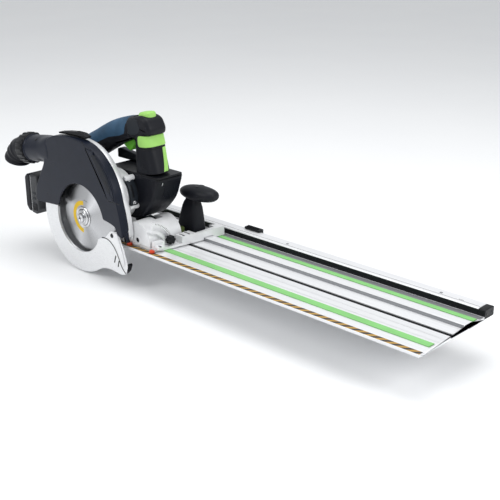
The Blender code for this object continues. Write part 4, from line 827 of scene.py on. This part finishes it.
def buildLowerGuard():
    # A flat sector with a nose; a hoop behind it follows the rim, and an arm leads back to the hub ring
    rim = arcPoints((0, 28), lower["radius"], 168, 303, 60)
    nose = smoothLine([(47.2, -44.6), (54, -41.2), (62, -38.6), (74, -37.2), (88, -37.6), (101, -39.0), (108, -37.0)], 22)[1:]
    tip = roundLoop([(104, -38.8), (112.5, -36.0), (117.4, -22.0), (116.0, -16.0), (111.0, -2.0), (104.0, 14.0)], 3.0, 5)[7:-6]
    brow = roundLoop([(104.0, 14.0), (97.5, 29.0), (80.0, 27.0), (66.0, 13.0), (50.5, 7.8), (44.0, 2.0)], 4.0, 5)[6:-6]
    window = arcPoints((0, 28), lower["open"], 325, 168, 54)
    loop = np.vstack([rim, nose, tip, brow, window]) * mm
    face, wall = lower["face"] * mm, lower["wall"] * mm
    back = -10.7 * mm
    shapes = [slab(evenLoop(loop, 480), face, face + wall, 0.55 * mm)]
    hoop = np.vstack([arcPoints((0, 28), 85.7, 169.5, 296, 50), arcPoints((0, 28), 83.7, 296, 169.5, 50)]) * mm
    shapes.append(slab(hoop, face + 0.6 * mm, back, 0.3 * mm))
    innerHoop = np.vstack([arcPoints((0, 28), 54.2, 172, 300, 40), arcPoints((0, 28), 55.6, 300, 172, 40)]) * mm
    shapes.append(slab(innerHoop, face + 1.0 * mm, face + 4.6 * mm, 0.3 * mm))
    ringBack = high("lower_guard")[1]
    shapes.append(slab(roundLoop(np.array([(-15, 18), (-15, 40), (-83.7, 41.8), (-84.2, 23)]) * mm, 1.0 * mm, 3), -9.1 * mm, ringBack, 0.4 * mm))
    shapes.append(slab(roundLoop(np.array([(-85.4, 22.2), (-81.0, 22.2), (-81.0, 43.3), (-84.2, 43.3)]) * mm, 0.6 * mm, 3), face + 0.7 * mm, ringBack, 0.4 * mm))
    hub = [(17.8, -9.2), (21.1, -9.2), (21.1, -6.8), (17.8, -6.8)]
    shapes.append(turnedShape([(r * mm, y * mm) for r, y in hub], (axisX, 0, axisZ), (0, 1, 0), 72, True))
    mats = [guardSteel] * len(shapes)
    wing = roundLoop(np.array([(86.0, 26.0), (81.5, 13.5), (90.5, 8.5), (98.5, -6.0), (106.0, -24.5), (112.0, -20.0), (108.0, -4.0), (101.5, 12.5), (96.5, 27.0)]) * mm, 2.0 * mm, 4)
    shapes.append(slab(wing, face - 1.3 * mm, face + 0.1 * mm, 0.5 * mm))
    mats.append(whiteCast)
    # Painted shade: a black line along the wing's lower edge, where the gap between wing and plate falls dark
    split = smoothLine([(58, 11.2), (69, 12.0), (78.5, 9.0), (88, 1.2), (95, -9.0), (103.5, -25.5), (112.5, -34.5)], 40)
    run = np.gradient(split, axis=0)
    run /= np.linalg.norm(run, axis=1, keepdims=True)
    across = np.stack([-run[:, 1], run[:, 0]], 1) * 0.8
    shapes.append(slab(np.vstack([split + across, (split - across)[::-1]]) * mm, face - 0.25 * mm, face + 0.2 * mm, 0.1 * mm))
    mats.append(black)
    for x0, z0, x1, z1 in ((90.2, -10.5, 86.0, -23.0), (97.6, -17.0, 94.4, -28.0)):
        d = np.array([x1 - x0, z1 - z0]) / math.hypot(x1 - x0, z1 - z0)
        n = np.array([-d[1], d[0]]) * 1.15
        p, q = np.array([x0, z0]), np.array([x1, z1])
        shapes.append(slab(roundLoop(np.array([p - n, q - n, q + n, p + n]) * mm, 0.8 * mm, 3), face - 0.12 * mm, face + 0.3 * mm, 0.05 * mm))
        mats.append(black)
    bumper = roundLoop(np.array([(108.0, -37.0), (115.0, -30.0), (118.6, -20.0), (116.0, -17.5), (112.5, -24.0), (106.5, -33.5)]) * mm, 1.6 * mm, 4)
    shapes.append(slab(bumper, face + 0.6 * mm, -13.2 * mm, 0.8 * mm))
    mats.append(black)
    stop = turnedShape([(0.2 * mm, 0), (3.2 * mm, 0.1 * mm), (3.6 * mm, 0.6 * mm), (3.6 * mm, 3.0 * mm)], (84.5 * mm, face - 1.8 * mm, 20.5 * mm), (0, 1, 0), 32)
    shapes.append(stop)
    mats.append(black)
    piece("lowerGuardSheet", "lower_guard", shapes, mats, ["lower_guard"])


ringLight(bladeSteel)
buildBlade()
buildHub()
buildLowerGuard()
print("blade and lower guard")

# The sole, the tilting block and the small fittings on them


def buildSole():
    # Rounded bars and screws on the plate; scale mark k stands at 24 + 3.4 k degrees round the tilt axis
    repaint(whiteCast, "base_plate", "guide_shoe_rear", "guide_shoe_front", "quadrant_front", "quadrant_rear", "tilt_block")
    a, b = low("base_plate"), high("base_plate")
    top = high("guide_shoe_front")[2] + 3.9 * mm
    shapes, mats = [], []
    bar = (low("quadrant_front")[0] + 1.5 * mm, b[0])
    for y0, y1, z1 in ((a[1] + 1 * mm, 12 * mm, 15.5 * mm), (47 * mm, 56.5 * mm, 21.6 * mm), (58.5 * mm, 66 * mm, 21.6 * mm)):
        shapes.append(roundBox((bar[0] + 5 * mm, y0, top - 0.5 * mm), (bar[1] - 13 * mm, y1, z1), 1.6 * mm, 0.9 * mm))
        mats.append(whiteCast)
    for x, y, w, d in ((154, 49.5, 12, 2.4), (154, 60.5, 12, 2.4), (158, 3.5, 7, 2.6)):
        z = 15.5 if y < 20 else 21.6
        shapes.append(roundBox((x * mm, y * mm, (z - 0.6) * mm), ((x + w) * mm, (y + d) * mm, (z + 0.05) * mm), 1.0 * mm, 0.04 * mm))
        mats.append(slate)
    for x, y in ((-80, 8), (-80, 50), (-30, 8), (-30, 50), (40, 8), (60, 50), (-80, 112), (20, 112), (120, 112)):
        shapes.append(turnedShape([(0.02 * mm, 0.3 * mm), (1.7 * mm, 0.3 * mm), (1.9 * mm, 0.9 * mm), (3.2 * mm, 0.7 * mm), (3.4 * mm, -0.3 * mm)], (x * mm, y * mm, top), (0, 0, 1), 24))
        mats.append(steel)
    for y in (20.0, 30.0):
        shapes.append(roundBox((-60 * mm, y * mm, top - 0.2 * mm), (60 * mm, (y + 1.6) * mm, top + 0.7 * mm), 0.7 * mm, 0.5 * mm))
        mats.append(whiteCast)
    piece("soleDetails", "saw_base", shapes, mats)
    for name in ("cut_pointer_rear", "cut_pointer_front"):
        a, b = low(name), high(name)
        m = 0.5 * (a[0] + b[0])
        loop = roundLoop([(a[0], b[1]), (a[0], a[1] + 3 * mm), (m - 0.7 * mm, a[1]), (m + 0.7 * mm, a[1]), (b[0], a[1] + 3 * mm), (b[0], b[1])], 0.5 * mm, 3)
        piece(name.replace("_", " ").title().replace(" ", "") + "Tip", "saw_base", [slab(loop, a[2], b[2], 0.5 * mm, "Z")], redPlastic, [name])
    a, b = low("quadrant_front"), high("quadrant_front")
    ticks = []
    for k in range(15):
        t = math.radians(24 + 3.4 * k)
        r0, r1 = (49.0 if k % 5 else 48.0) * mm, 51.4 * mm
        d, n = np.array([math.cos(t), math.sin(t)]), np.array([-math.sin(t), math.cos(t)]) * 0.16 * mm
        o = np.array([-10 * mm, 0.0])
        ticks.append(slab(np.array([o + d * r0 - n, o + d * r1 - n, o + d * r1 + n, o + d * r0 + n]), b[0] - 0.1 * mm, b[0] + 0.06 * mm, 0.02 * mm, "X", 1))
    piece("bevelScale", "saw_base", ticks, black)
    a, b = low("tilt_block"), high("tilt_block")
    pin = low("pivot_pin"), high("pivot_pin")
    c = (0.5 * (pin[0][0] + pin[1][0]), a[1], 0.5 * (pin[0][2] + pin[1][2]))
    rim = turnedShape([(3.9 * mm, 0.2 * mm), (4.2 * mm, 0.45 * mm), (7.2 * mm, 0.45 * mm), (7.8 * mm, -0.2 * mm), (3.9 * mm, -0.6 * mm)], c, (0, -1, 0), 48, True)
    well = turnedShape([(0.02 * mm, -1.0 * mm), (4.0 * mm, -1.0 * mm), (4.0 * mm, -2.0 * mm), (0.02 * mm, -2.0 * mm)], c, (0, -1, 0), 32)
    piece("pivotRim", "tilt_frame", [rim, well], [whiteCast, black])
    repaint(steel, "pivot_pin", "plunge_spring")


def lobedKnob(centre, axis, radius, height, lobes, swell):
    # Radius = a turned profile plus a rounded wave round the axis
    axis = np.array(axis, float)
    side = np.array([0.0, 1.0, 0.0]) if abs(axis[1]) < 0.5 else np.array([1.0, 0.0, 0.0])
    other = np.cross(axis, side)
    a = np.linspace(0, 2 * np.pi, 144, endpoint=False)
    profile = np.array([(0.02, 0), (0.82, 0), (0.97, 0.06), (1, 0.16), (1, 0.82), (0.95, 0.95), (0.82, 1.0), (0.5, 1.0), (0.42, 0.94), (0.02, 0.93)])
    share = np.array([0, 0.6, 1, 1, 1, 1, 0.6, 0, 0, 0])[:, None]
    r = radius * profile[:, :1] + np.cos(a * lobes)[None] * swell * share
    around = np.cos(a)[:, None] * side + np.sin(a)[:, None] * other
    rings = np.array(centre) + (profile[:, 1] * height)[:, None, None] * axis + r[..., None] * around[None]
    return tube(rings)


def buildKnobs():
    # Each lobed profile is sized by the box of the part that it dresses
    a, b = low("play_knob"), high("play_knob")
    c = (0.5 * (a[0] + b[0]), 0.5 * (a[1] + b[1]), a[2])
    piece("playKnobFluted", "play_knob", [lobedKnob(c, (0, 0, 1), 0.5 * (b[0] - a[0]) - 0.4 * mm, b[2] - a[2], 12, 0.35 * mm)], olive, ["play_knob"])
    a, b = low("bevel_clamp_front"), high("bevel_clamp_front")
    c = (b[0] - 10.0 * mm, 0.5 * (a[1] + b[1]), 0.5 * (a[2] + b[2]))
    stem = rod((a[0], c[1], c[2]), (c[0] + 1 * mm, c[1], c[2]), 2.4 * mm)
    piece("bevelClampLobed", "bevel_clamp", [lobedKnob(c, (1, 0, 0), 6.3 * mm, 10.0 * mm, 6, 0.7 * mm), stem], [black, steel], ["bevel_clamp_front"])


def buildFrontKnob():
    # The stalk's rings shrink and lean as they rise; the head's radius is a power of a sine, thin at its rear
    a, b = low("knob_stalk"), high("knob_stalk")
    y = 0.5 * (a[1] + b[1])
    z = np.array([a[2], a[2] + 1.2 * mm, 0.021, 0.033, 0.045, 0.054, 0.060, b[2], b[2] + 5 * mm])
    cx = np.interp(z, [a[2], b[2]], [137.5, 141.8]) * mm
    wide = np.array([22.6, 23.0, 22.4, 20.2, 17.6, 15.6, 13.4, 10.6, 10.4]) * mm
    deep = np.array([13.2, 13.5, 13.2, 12.4, 11.4, 10.4, 9.2, 8.0, 8.0]) * mm
    stalk = ovalSweep(np.stack([cx, np.full(9, y), z], 1), deep, wide, 4.2, 64)
    seam = [roundBox((cx[0] + 21 * mm, y - 7 * mm, 0.020), (cx[0] + 22.3 * mm, y + 7 * mm, 0.0245), 1 * mm, 0.4 * mm)]
    piece("frontStalk", "saw_base", [stalk] + seam, softBlack, ["knob_stalk"])
    a, b = low("knob_head"), high("knob_head")
    centre = np.array([0.5 * (a[0] + b[0]), 0.5 * (a[1] + b[1]), a[2] + 11.9 * mm])
    size = np.array([0.5 * (b[0] - a[0]), 0.5 * (b[1] - a[1])])
    u = np.linspace(0.02, math.pi - 0.02, 60)[:, None]
    v = np.linspace(0, 2 * np.pi, 72, endpoint=False)[None]
    r = np.where(u < np.pi / 2, np.sin(u) ** 0.98, np.sin(u) ** 0.62)
    up = np.sin(v) * r
    rise = np.where(up > 0, (b[2] - centre[2]) * up, 11.7 * mm * np.sign(up) * np.abs(up) ** 0.9)
    x = -np.cos(u) * size[0] + 0 * v
    tilt = math.radians(4)
    points = np.stack([centre[0] + x * math.cos(tilt), centre[1] + size[1] * r * np.cos(v), centre[2] + rise + x * math.sin(tilt) * 0.5], -1)
    badge = slab(arcPoints((centre[0] + 3 * mm, centre[1]), 7.5 * mm, 0, 352, 44), b[2] - 0.9 * mm, b[2] - 0.15 * mm, 0.2 * mm, "Z", 1)
    piece("frontKnobHead", "saw_base", [tube(points), badge], [softBlack, softBlack], ["knob_head"])


buildSole()
buildKnobs()
buildFrontKnob()
print("sole and knobs")

# Gear case, motor and the arm between them


def hull(circles, steps=40):
    # The line round several circles: the farthest one in each direction
    a = np.linspace(0, 2 * np.pi, steps * len(circles), endpoint=False)
    d = np.stack([np.cos(a), np.sin(a)], 1)
    reach = np.stack([d @ np.array([x, z]) + r for x, z, r in circles])
    best = np.argmax(reach, 0)
    c = np.array(circles)[best]
    return c[:, :2] + d * c[:, 2:]


def ribbon(path, half, thick, place, axis="Y"):
    # A thin strip that follows a flat line, that wide across it
    run = np.gradient(path, axis=0)
    run /= np.linalg.norm(run, axis=1, keepdims=True)
    n = np.stack([-run[:, 1], run[:, 0]], 1) * thick
    return slab(np.vstack([path + n, (path - n)[::-1]]), place - half, place + half, 0.12 * mm, axis, 1)


def buildGearCase():
    # The line round three circles carried along Y; ribs run out from the motor axis every 22 degrees
    a, b = low("gear_case"), high("gear_case")
    loop = hull([(0, 28 * mm, 16.5 * mm), (28 * mm, 50 * mm, 33.5 * mm), (57.1 * mm, 74.4 * mm, 40 * mm)])
    shapes = [slab(evenLoop(loop, 160), a[1], b[1], 3.5 * mm, "Y", 5)]
    mats = [whiteCast]
    for x, z, r in ((-6, 58, 4.4), (30, 108, 4.4), (88, 105, 4.4), (96, 62, 4.4), (8, 12.6, 3.6)):
        shapes.append(rod((x * mm, a[1] + 3 * mm, z * mm), (x * mm, b[1] + 0.2 * mm, z * mm), r * mm, 0.8 * mm))
        mats.append(whiteCast)
        shapes.append(rod((x * mm, a[1] + 1.4 * mm, z * mm), (x * mm, a[1] + 5 * mm, z * mm), 2.6 * mm, 0.5 * mm, 24))
        mats.append(steel)
    for k in range(6):
        t = math.radians(20 + 22 * k)
        c, s = math.cos(t), math.sin(t)
        p, q = np.array([57.1 + 18 * c, 74.4 + 18 * s]), np.array([57.1 + 38 * c, 74.4 + 38 * s])
        n = np.array([-s, c]) * 0.9
        shapes.append(slab(np.array([p - n, q - n, q + n, p + n]) * mm, a[1] - 0.9 * mm, a[1] + 1 * mm, 0.4 * mm))
        mats.append(whiteCast)
    piece("gearCaseShell", "saw_unit", shapes, mats, ["gear_case"])
    a, b = low("gear_cover"), high("gear_cover")
    band = np.vstack([arcPoints((57.1, 74.4), 44.6, -12, 46, 30), arcPoints((57.1, 74.4), 40.4, 46, -12, 30)]) * mm
    shapes = [slab(band, a[1], b[1], 0.7 * mm)]
    mats = [slate]
    slot = np.vstack([arcPoints((57.1, 74.4), 44.75, 4, 30, 16), arcPoints((57.1, 74.4), 44.3, 30, 4, 16)]) * mm
    shapes.append(slab(slot, a[1] + 4 * mm, a[1] + 7.5 * mm, 0.1 * mm))
    mats.append(black)
    for angle in (-6, 40):
        t = math.radians(angle)
        out = np.array([math.cos(t), 0, math.sin(t)])
        base = np.array([57.1 * mm, 0.5 * (a[1] + b[1]), 74.4 * mm]) + out * 44.3 * mm
        shapes.append(turnedShape([(0.02 * mm, 0.8 * mm), (1.6 * mm, 0.8 * mm), (2.2 * mm, 1.3 * mm), (3.0 * mm, 0.9 * mm), (3.2 * mm, -0.2 * mm)], base, out, 24))
        mats.append(steel)
    piece("gearCoverBand", "saw_unit", shapes, mats, ["gear_cover"])


def buildMotor():
    # A rounded polygon carried along Y; the vents are thin strips that follow its sloping front
    a, b = low("motor_housing"), high("motor_housing")
    corners = np.array([(93, 37.7), (110, 50.5), (129.8, 72), (136.8, 92), (141.8, 105), (139.0, 111.5), (30, 111.5), (12.2, 96), (10.2, 58), (26, 37.7)]) * mm
    loop = evenLoop(roundLoop(corners, np.array([10, 14, 14, 12, 4, 4, 3, 12, 14, 12]) * mm, 8), 260)
    shapes = [slab(loop, a[1], b[1], 4.2 * mm, "Y", 6)]
    mats = [softBlack]
    deck = roundBox((28 * mm, a[1] + 0.6 * mm, 108.6 * mm), (142.3 * mm, b[1] - 0.4 * mm, 112.1 * mm), 5.5 * mm, 1.0 * mm)
    lip = roundBox((27 * mm, a[1] + 0.2 * mm, 106.9 * mm), (142.6 * mm, b[1] + 0.1 * mm, 108.3 * mm), 5.8 * mm, 0.5 * mm)
    shapes += [deck, lip]
    mats += [black, black]
    for k in range(8):
        y = b[1] - (7.0 + 3.6 * k) * mm
        drop = 1.5 * abs(k - 3.5)
        path = smoothLine(np.array([(129.4, 71 + drop), (132.7, 80), (135.8, 89), (138.1, 97 - 0.3 * drop)]) * mm, 12)
        shapes.append(ribbon(path + np.array([0.25 * mm, 0]), 0.85 * mm, 0.45 * mm, y))
        mats.append(navyPanel)
        shapes.append(ribbon(path + np.array([0.1 * mm, 0]), 1.25 * mm, 0.45 * mm, y))
        mats.append(softBlack)
    mark = smoothLine(np.array([(139.3, 98.5), (141.1, 103.5)]) * mm, 4)
    shapes.append(ribbon(mark + np.array([0.35 * mm, 0]), 0.5 * mm, 0.3 * mm, a[1] + 12 * mm))
    mats.append(whiteCast)
    for k in range(5):
        z = 62 + 7.5 * k
        shapes.append(roundBox((40 * mm, b[1] - 0.6 * mm, z * mm), (104 * mm, b[1] + 0.25 * mm, (z + 2.6) * mm), 1.2 * mm, 0.2 * mm, "Y"))
        mats.append(navyPanel)
    ring = turnedShape([(21 * mm, -0.5 * mm), (21 * mm, 0.5 * mm), (19.5 * mm, 0.9 * mm), (18.5 * mm, 0.5 * mm), (18.5 * mm, -0.5 * mm)], (57.1 * mm, b[1], 74.4 * mm), (0, 1, 0), 72, True)
    for x, z in ((22, 56), (118, 70), (32, 104), (126, 104)):
        shapes.append(turnedShape([(0.02 * mm, -0.3 * mm), (1.5 * mm, -0.3 * mm), (1.9 * mm, 0.3 * mm), (3.6 * mm, 0.3 * mm), (3.8 * mm, -0.6 * mm)], (x * mm, b[1], z * mm), (0, 1, 0), 24))
        mats.append(steel)
    shapes.append(ring)
    mats.append(softBlack)
    piece("motorHousingShell", "saw_unit", shapes, mats, ["motor_housing"])
    repaint(copper, "motor_stator")
    repaint(steel, "rotor", "layshaft_gears", "spindle_gear", "spindle_bearing")
    repaint(black, "cooling_fan", "switch_module")
    a, b = low("electronics_cover"), high("electronics_cover")
    wedge = roundLoop(np.array([(a[0], a[2]), (a[0], b[2] - 3 * mm), (a[0] + 8 * mm, b[2]), (b[0] - 3 * mm, a[2] + 8 * mm), (b[0], a[2] + 5 * mm), (b[0], a[2])]), 2.0 * mm, 5)
    ribs = [roundBox((a[0] + (44 + 5 * k) * mm, a[1] + 3 * mm, a[2] + (11.6 - 0.68 * k) * mm), (a[0] + (45.6 + 5 * k) * mm, b[1] - 3 * mm, a[2] + (13.4 - 0.68 * k) * mm), 0.6 * mm, 0.4 * mm) for k in range(5)]
    piece("electronicsLid", "saw_unit", [slab(wedge, a[1], b[1], 1.8 * mm, "Y", 4)] + ribs, slate, ["electronics_cover"])
    repaint(slate, "plunge_arm")
    a, b = low("plunge_arm"), high("plunge_arm")
    bolt = turnedShape([(0.02 * mm, 0.4 * mm), (2.0 * mm, 0.4 * mm), (2.4 * mm, 1.4 * mm), (4.4 * mm, 1.2 * mm), (4.8 * mm, -0.2 * mm)], (b[0] - 6 * mm, a[1] - 0.2 * mm, 0.0166), (0, -1, 0), 28)
    piece("armBolt", "saw_unit", [bolt], steel)


buildGearCase()
buildMotor()
print("gear case and motor")

# Handle, trigger and battery

grip = {"middle": 42.0, "half": 19.0, "power": 2.5}
gripLine = [(-75, 85, 22.5, 18.6), (-67, 102.5, 21.0, 18.8), (-50.5, 115, 20.6, 19), (-29, 129, 20.4, 19), (-6, 141.3, 20.0, 18.8),
            (14, 152.3, 19.8, 18.6), (34, 162.4, 19.2, 18.6), (56, 170.6, 18.4, 18.8), (84, 178.6, 17.6, 19)]
columnLine = [(102.4, 178, 14.6, 17.5), (102.6, 168, 15.4, 18.8), (104.9, 148, 19.2, 19), (106.9, 130, 22.4, 19), (109.2, 112.6, 25.0, 19)]


def stations(line, count):
    # A smooth line through rows of x, z, half height and half width
    p = smoothLine(line, count)
    return np.stack([p[:, 0], np.full(count, grip["middle"]), p[:, 1]], 1) * mm, p[:, 2] * mm, p[:, 3] * mm


def patch(spine, across, tall, power, first, last, lift, steps=26, side=(0, 1, 0)):
    # Part of an oval sweep raised off it: each ring runs out along the raised arc and back along a sunken one
    spine = np.array(spine, float)
    run = np.gradient(spine, axis=0)
    run /= np.linalg.norm(run, axis=1, keepdims=True)
    lateral = np.broadcast_to(np.array(side, float), spine.shape)
    normal = np.cross(run, lateral)
    normal /= np.linalg.norm(normal, axis=1, keepdims=True)
    t = np.linspace(0, 1, steps)
    n = len(spine)
    first, last = np.broadcast_to(first, n)[:, None], np.broadcast_to(last, n)[:, None]
    a = np.radians(first + (last - first) * t)
    edge = np.minimum(np.minimum(t, 1 - t) * 12, 1.0) ** 0.5
    ends = np.minimum(np.minimum(np.arange(n), np.arange(n)[::-1]) / 2.0, 1.0)[:, None] ** 0.5
    out = lift * edge[None] * ends

    def place(extra):
        cx = np.sign(np.cos(a)) * np.abs(np.cos(a)) ** (2 / power)
        cy = np.sign(np.sin(a)) * np.abs(np.sin(a)) ** (2 / power)
        w, h = np.broadcast_to(across, n)[:, None] + extra, np.broadcast_to(tall, n)[:, None] + extra
        return spine[:, None] + (w * cx)[..., None] * lateral[:, None] + (h * cy)[..., None] * normal[:, None]
    rings = np.concatenate([place(out), place(np.full((n, steps), -0.9 * mm))[:, ::-1]], 1)
    return tube(rings)


def buildHandle():
    # Superellipses |u / w|^p + |v / h|^p = 1 carried along the grip and column lines; head is a carried outline
    spine, tall, across = stations(gripLine, 70)
    body = ovalSweep(spine, across, tall, grip["power"], 56)
    headLoop = roundLoop(np.array([(70, 163), (70, 191), (90, 197.0), (103, 199.8), (116, 196.3), (124.2, 181.5), (122.3, 172.5), (112, 169.0), (88, 162.0)]) * mm, np.array([6, 6, 8, 6, 7, 6, 3, 8, 6]) * mm, 6)
    y0, y1 = (grip["middle"] - grip["half"]) * mm, (grip["middle"] + grip["half"]) * mm
    head = slab(evenLoop(headLoop, 180), y0, y1, 7.0 * mm, "Y", 6)
    cSpine, cTall, cAcross = stations(columnLine, 30)
    column = ovalSweep(cSpine, cAcross, cTall, 3.4, 56)
    shapes, mats = [body, head, column], [softBlack, softBlack, softBlack]
    facet = roundLoop(np.array([(76.5, 169), (75.5, 190), (91, 194.5), (99, 193), (104, 181), (101, 173.5), (92, 170)]) * mm, 2.0 * mm, 5)
    for face in (y0 - 0.4 * mm, y1 - 0.8 * mm):
        shapes.append(slab(facet, face, face + 1.2 * mm, 0.5 * mm))
        mats.append(slate)
    blend = roundLoop(np.array([(40, 148), (46, 153.5), (62, 158.5), (80, 166), (92, 168), (92, 158), (82, 161.6), (60, 151.6), (46, 144.8)]) * mm, 1.0 * mm, 3)
    shapes.append(slab(blend, y0 + 4 * mm, y1 - 4 * mm, 2.0 * mm, "Y", 4))
    mats.append(softBlack)
    for x, z in ((-70, 100), (-14, 137), (66, 173), (108, 124)):
        for d in (-1, 1):
            r = 18.6 if x < 100 else 18.9
            shapes.append(turnedShape([(0.02 * mm, -1.4 * mm), (1.6 * mm, -1.4 * mm), (2.2 * mm, -0.2 * mm), (3.0 * mm, 0.25 * mm), (3.4 * mm, -1.0 * mm)], (x * mm, (grip["middle"] + d * r) * mm, z * mm), (0, d, 0), 24))
            mats.append(black)
    seat = roundLoop(np.array([(-101, 84), (-99, 96), (-88, 108), (-60, 100), (-44, 84)]) * mm, 4 * mm, 5)
    shapes.append(slab(seat, y0 + 0.5 * mm, y1 - 0.5 * mm, 3.0 * mm, "Y", 4))
    mats.append(softBlack)
    piece("handleShell", "saw_unit", shapes, mats, ["handle_near", "handle_far"])
    n = 60
    part = slice(7, 67)
    s = np.linspace(0, 1, n)
    wide = np.interp(s, [0, 0.05, 0.14, 0.4, 0.7, 0.88, 0.955, 1.0], [30, 62, 80, 90, 96, 108, 104, 62])
    inlay = patch(spine[part], across[part], tall[part], grip["power"], 90 - wide, 90 + wide, 0.75 * mm)
    piece("gripInlaySoft", "saw_unit", [inlay], gripBlue, ["grip_inlay"])
    cSpine, cTall, cAcross = stations(columnLine, 120)
    z = cSpine[:, 2] / mm
    pick = np.where((z < 172.6) & (z > 148.4))[0]
    bands = []
    for chosen, rear, curl, lift in ((pick, 96.6, 7.5, 0.8), (pick[5:-5], 98.2, 6.5, 1.8)):
        t = np.linspace(-1, 1, len(chosen))
        along = rear + curl * (1 - np.sqrt(np.clip(1 - t ** 4, 0, 1))) - cSpine[chosen, 0] / mm
        u = along * mm / cTall[chosen]
        reach = 90 - np.degrees(np.sign(u) * np.arcsin(np.abs(u) ** 1.7))
        bands.append(patch(cSpine[chosen], cAcross[chosen], cTall[chosen], 3.4, 90 - reach, 90 + reach, lift * mm, 90))
    pick = np.where((z < 151.5) & (z > 113.2))[0]
    t = np.linspace(0, 1, len(pick))
    strip = patch(cSpine[pick], cAcross[pick], cTall[pick], 3.4, 46 + 28 * t, 78 + 12 * t, 0.9 * mm, 16)
    piece("columnBand", "saw_unit", bands + [strip], [black, lime, lime], ["column_panel"])


def buildTriggers():
    # Trigger is a carried outline; the cap is superellipses that shrink as they rise and drop towards the front
    a, b = low("trigger"), high("trigger")
    loop = roundLoop(np.array([(47, 159), (47.2, 150.5), (50, 145.2), (56.5, 140.8), (62, 138.2), (67.5, 140.0), (72.5, 146), (75.8, 152), (76, 159)]) * mm, 2.2 * mm, 5)
    upper = slab(loop, a[1], b[1], 2.6 * mm, "Y", 5)
    piece("triggerLever", "trigger", [upper], triggerGreen, ["trigger"])
    a, b = low("lock_off_button"), high("lock_off_button")
    z = np.array([a[2], a[2] + 1 * mm, b[2] - 8 * mm, b[2] - 5 * mm, b[2] - 2.4 * mm, b[2] - 0.8 * mm, b[2]])
    size = np.array([0.97, 1.0, 1.0, 0.99, 0.94, 0.80, 0.42])
    t = np.linspace(0, 2 * np.pi, 72, endpoint=False)
    cx = np.sign(np.cos(t)) * np.abs(np.cos(t)) ** (2 / 2.8)
    cy = np.sign(np.sin(t)) * np.abs(np.sin(t)) ** (2 / 2.8)
    mid, half = 0.5 * (a + b), 0.5 * (b - a)
    rings = np.stack([np.stack([mid[0] + half[0] * s * cx, mid[1] + half[1] * s * cy, h - 1.8 * mm * (1 - s * cx) * (h > z[1])], 1) for s, h in zip(size, z)])
    groove = [roundBox((mid[0] + (k * 3.6 - 0.6) * mm, a[1] + 5.5 * mm, b[2] - 3.0 * mm + 0.75 * k * mm), (mid[0] + (k * 3.6 + 0.6) * mm, b[1] - 5.5 * mm, b[2] - 2.1 * mm + 0.75 * k * mm), 0.5 * mm, 0.15 * mm) for k in (-1, 0, 1)]
    piece("lockOffCap", "lock_off_button", [tube(rings)] + groove, [lime] * 4, ["lock_off_button"])


def buildBattery():
    # Rounded outlines carried along Y, with raised bars every few millimetres
    repaint(softBlack, "battery_dock")
    a, b = low("battery_pack"), high("battery_pack")
    c, d = low("battery_cover"), high("battery_cover")
    side = roundLoop([(a[0], a[2] + 1 * mm), (a[0], b[2]), (b[0] - 2 * mm, b[2]), (b[0], b[2] - 2 * mm), (b[0], a[2] + 9 * mm), (b[0] - 8 * mm, a[2])], 1.6 * mm, 4)
    shapes = [slab(side, a[1], b[1], 2.2 * mm, "Y", 4)]
    mats = [greyPlastic]
    for k in range(3):
        z = a[2] + (16 + 9 * k) * mm
        shapes.append(roundBox((a[0] + 5 * mm, a[1] - 0.4 * mm, z), (b[0] - 6 * mm, a[1] + 0.8 * mm, z + 4.2 * mm), 1.4 * mm, 0.35 * mm, "Y"))
        mats.append(slate)
    shapes.append(roundBox((a[0] - 0.05 * mm, a[1] + 0.6 * mm, a[2] + 1.2 * mm), (a[0] + 1.5 * mm, b[1] - 0.6 * mm, b[2] - 0.4 * mm), 3 * mm, 0.3 * mm, "X"))
    mats.append(whiteCast)
    piece("batteryBody", "battery", shapes, mats, ["battery_pack"])
    side = roundLoop([(c[0], c[2] + 8 * mm), (c[0], d[2] - 6 * mm), (c[0] + 6 * mm, d[2]), (d[0], d[2]), (d[0], c[2]), (c[0] + 7 * mm, c[2])], 3.0 * mm, 5)
    shapes = [slab(side, c[1], d[1], 3.0 * mm, "Y", 5)]
    mats = [softBlack]
    for k in range(4):
        z = c[2] + (18 + 8.5 * k) * mm
        shapes.append(roundBox((c[0] - 0.5 * mm, c[1] + 14 * mm, z), (c[0] + 1.2 * mm, d[1] - 14 * mm, z + 3.4 * mm), 1.4 * mm, 0.4 * mm, "X"))
        mats.append(slate)
    piece("batteryShell", "battery", shapes, mats, ["battery_cover"])
    a, b = low("battery_release"), high("battery_release")
    ribs = [roundBox((a[0] + 1.5 * mm, a[1] - 0.3 * mm, a[2] + (1.6 + 2.4 * k) * mm), (b[0] - 1.5 * mm, a[1] + 0.8 * mm, a[2] + (2.6 + 2.4 * k) * mm), 0.4 * mm, 0.25 * mm, "Y") for k in range(3)]
    piece("batteryLatch", "battery_release",
          [roundBox(a, b, 1.6 * mm, 0.8 * mm, "Y")] + ribs, black, ["battery_release"])


buildHandle()
buildTriggers()
buildBattery()
print("handle and battery")

floorMesh = bpy.data.meshes.new("floor")
floorMesh.from_pydata([(-9, -9, studio["floor"]), (9, -9, studio["floor"]), (9, 9, studio["floor"]), (-9, 9, studio["floor"])], [], [(0, 1, 2, 3)])
floorMat = material("floorPaint", studio["floorColour"], 0.75)
link(floorMat, ramp(floorMat, noise(floorMat, objectPlace(floorMat), 3.0), [(0.3, (0.955, 0.96, 0.968)), (0.7, (0.97, 0.975, 0.98))]), shaderIn(floorMat, "Base Color"))
floorMesh.materials.append(floorMat)
floor = bpy.data.objects.new("floor", floorMesh)
bpy.context.scene.collection.objects.link(floor)

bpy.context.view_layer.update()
print("finished")
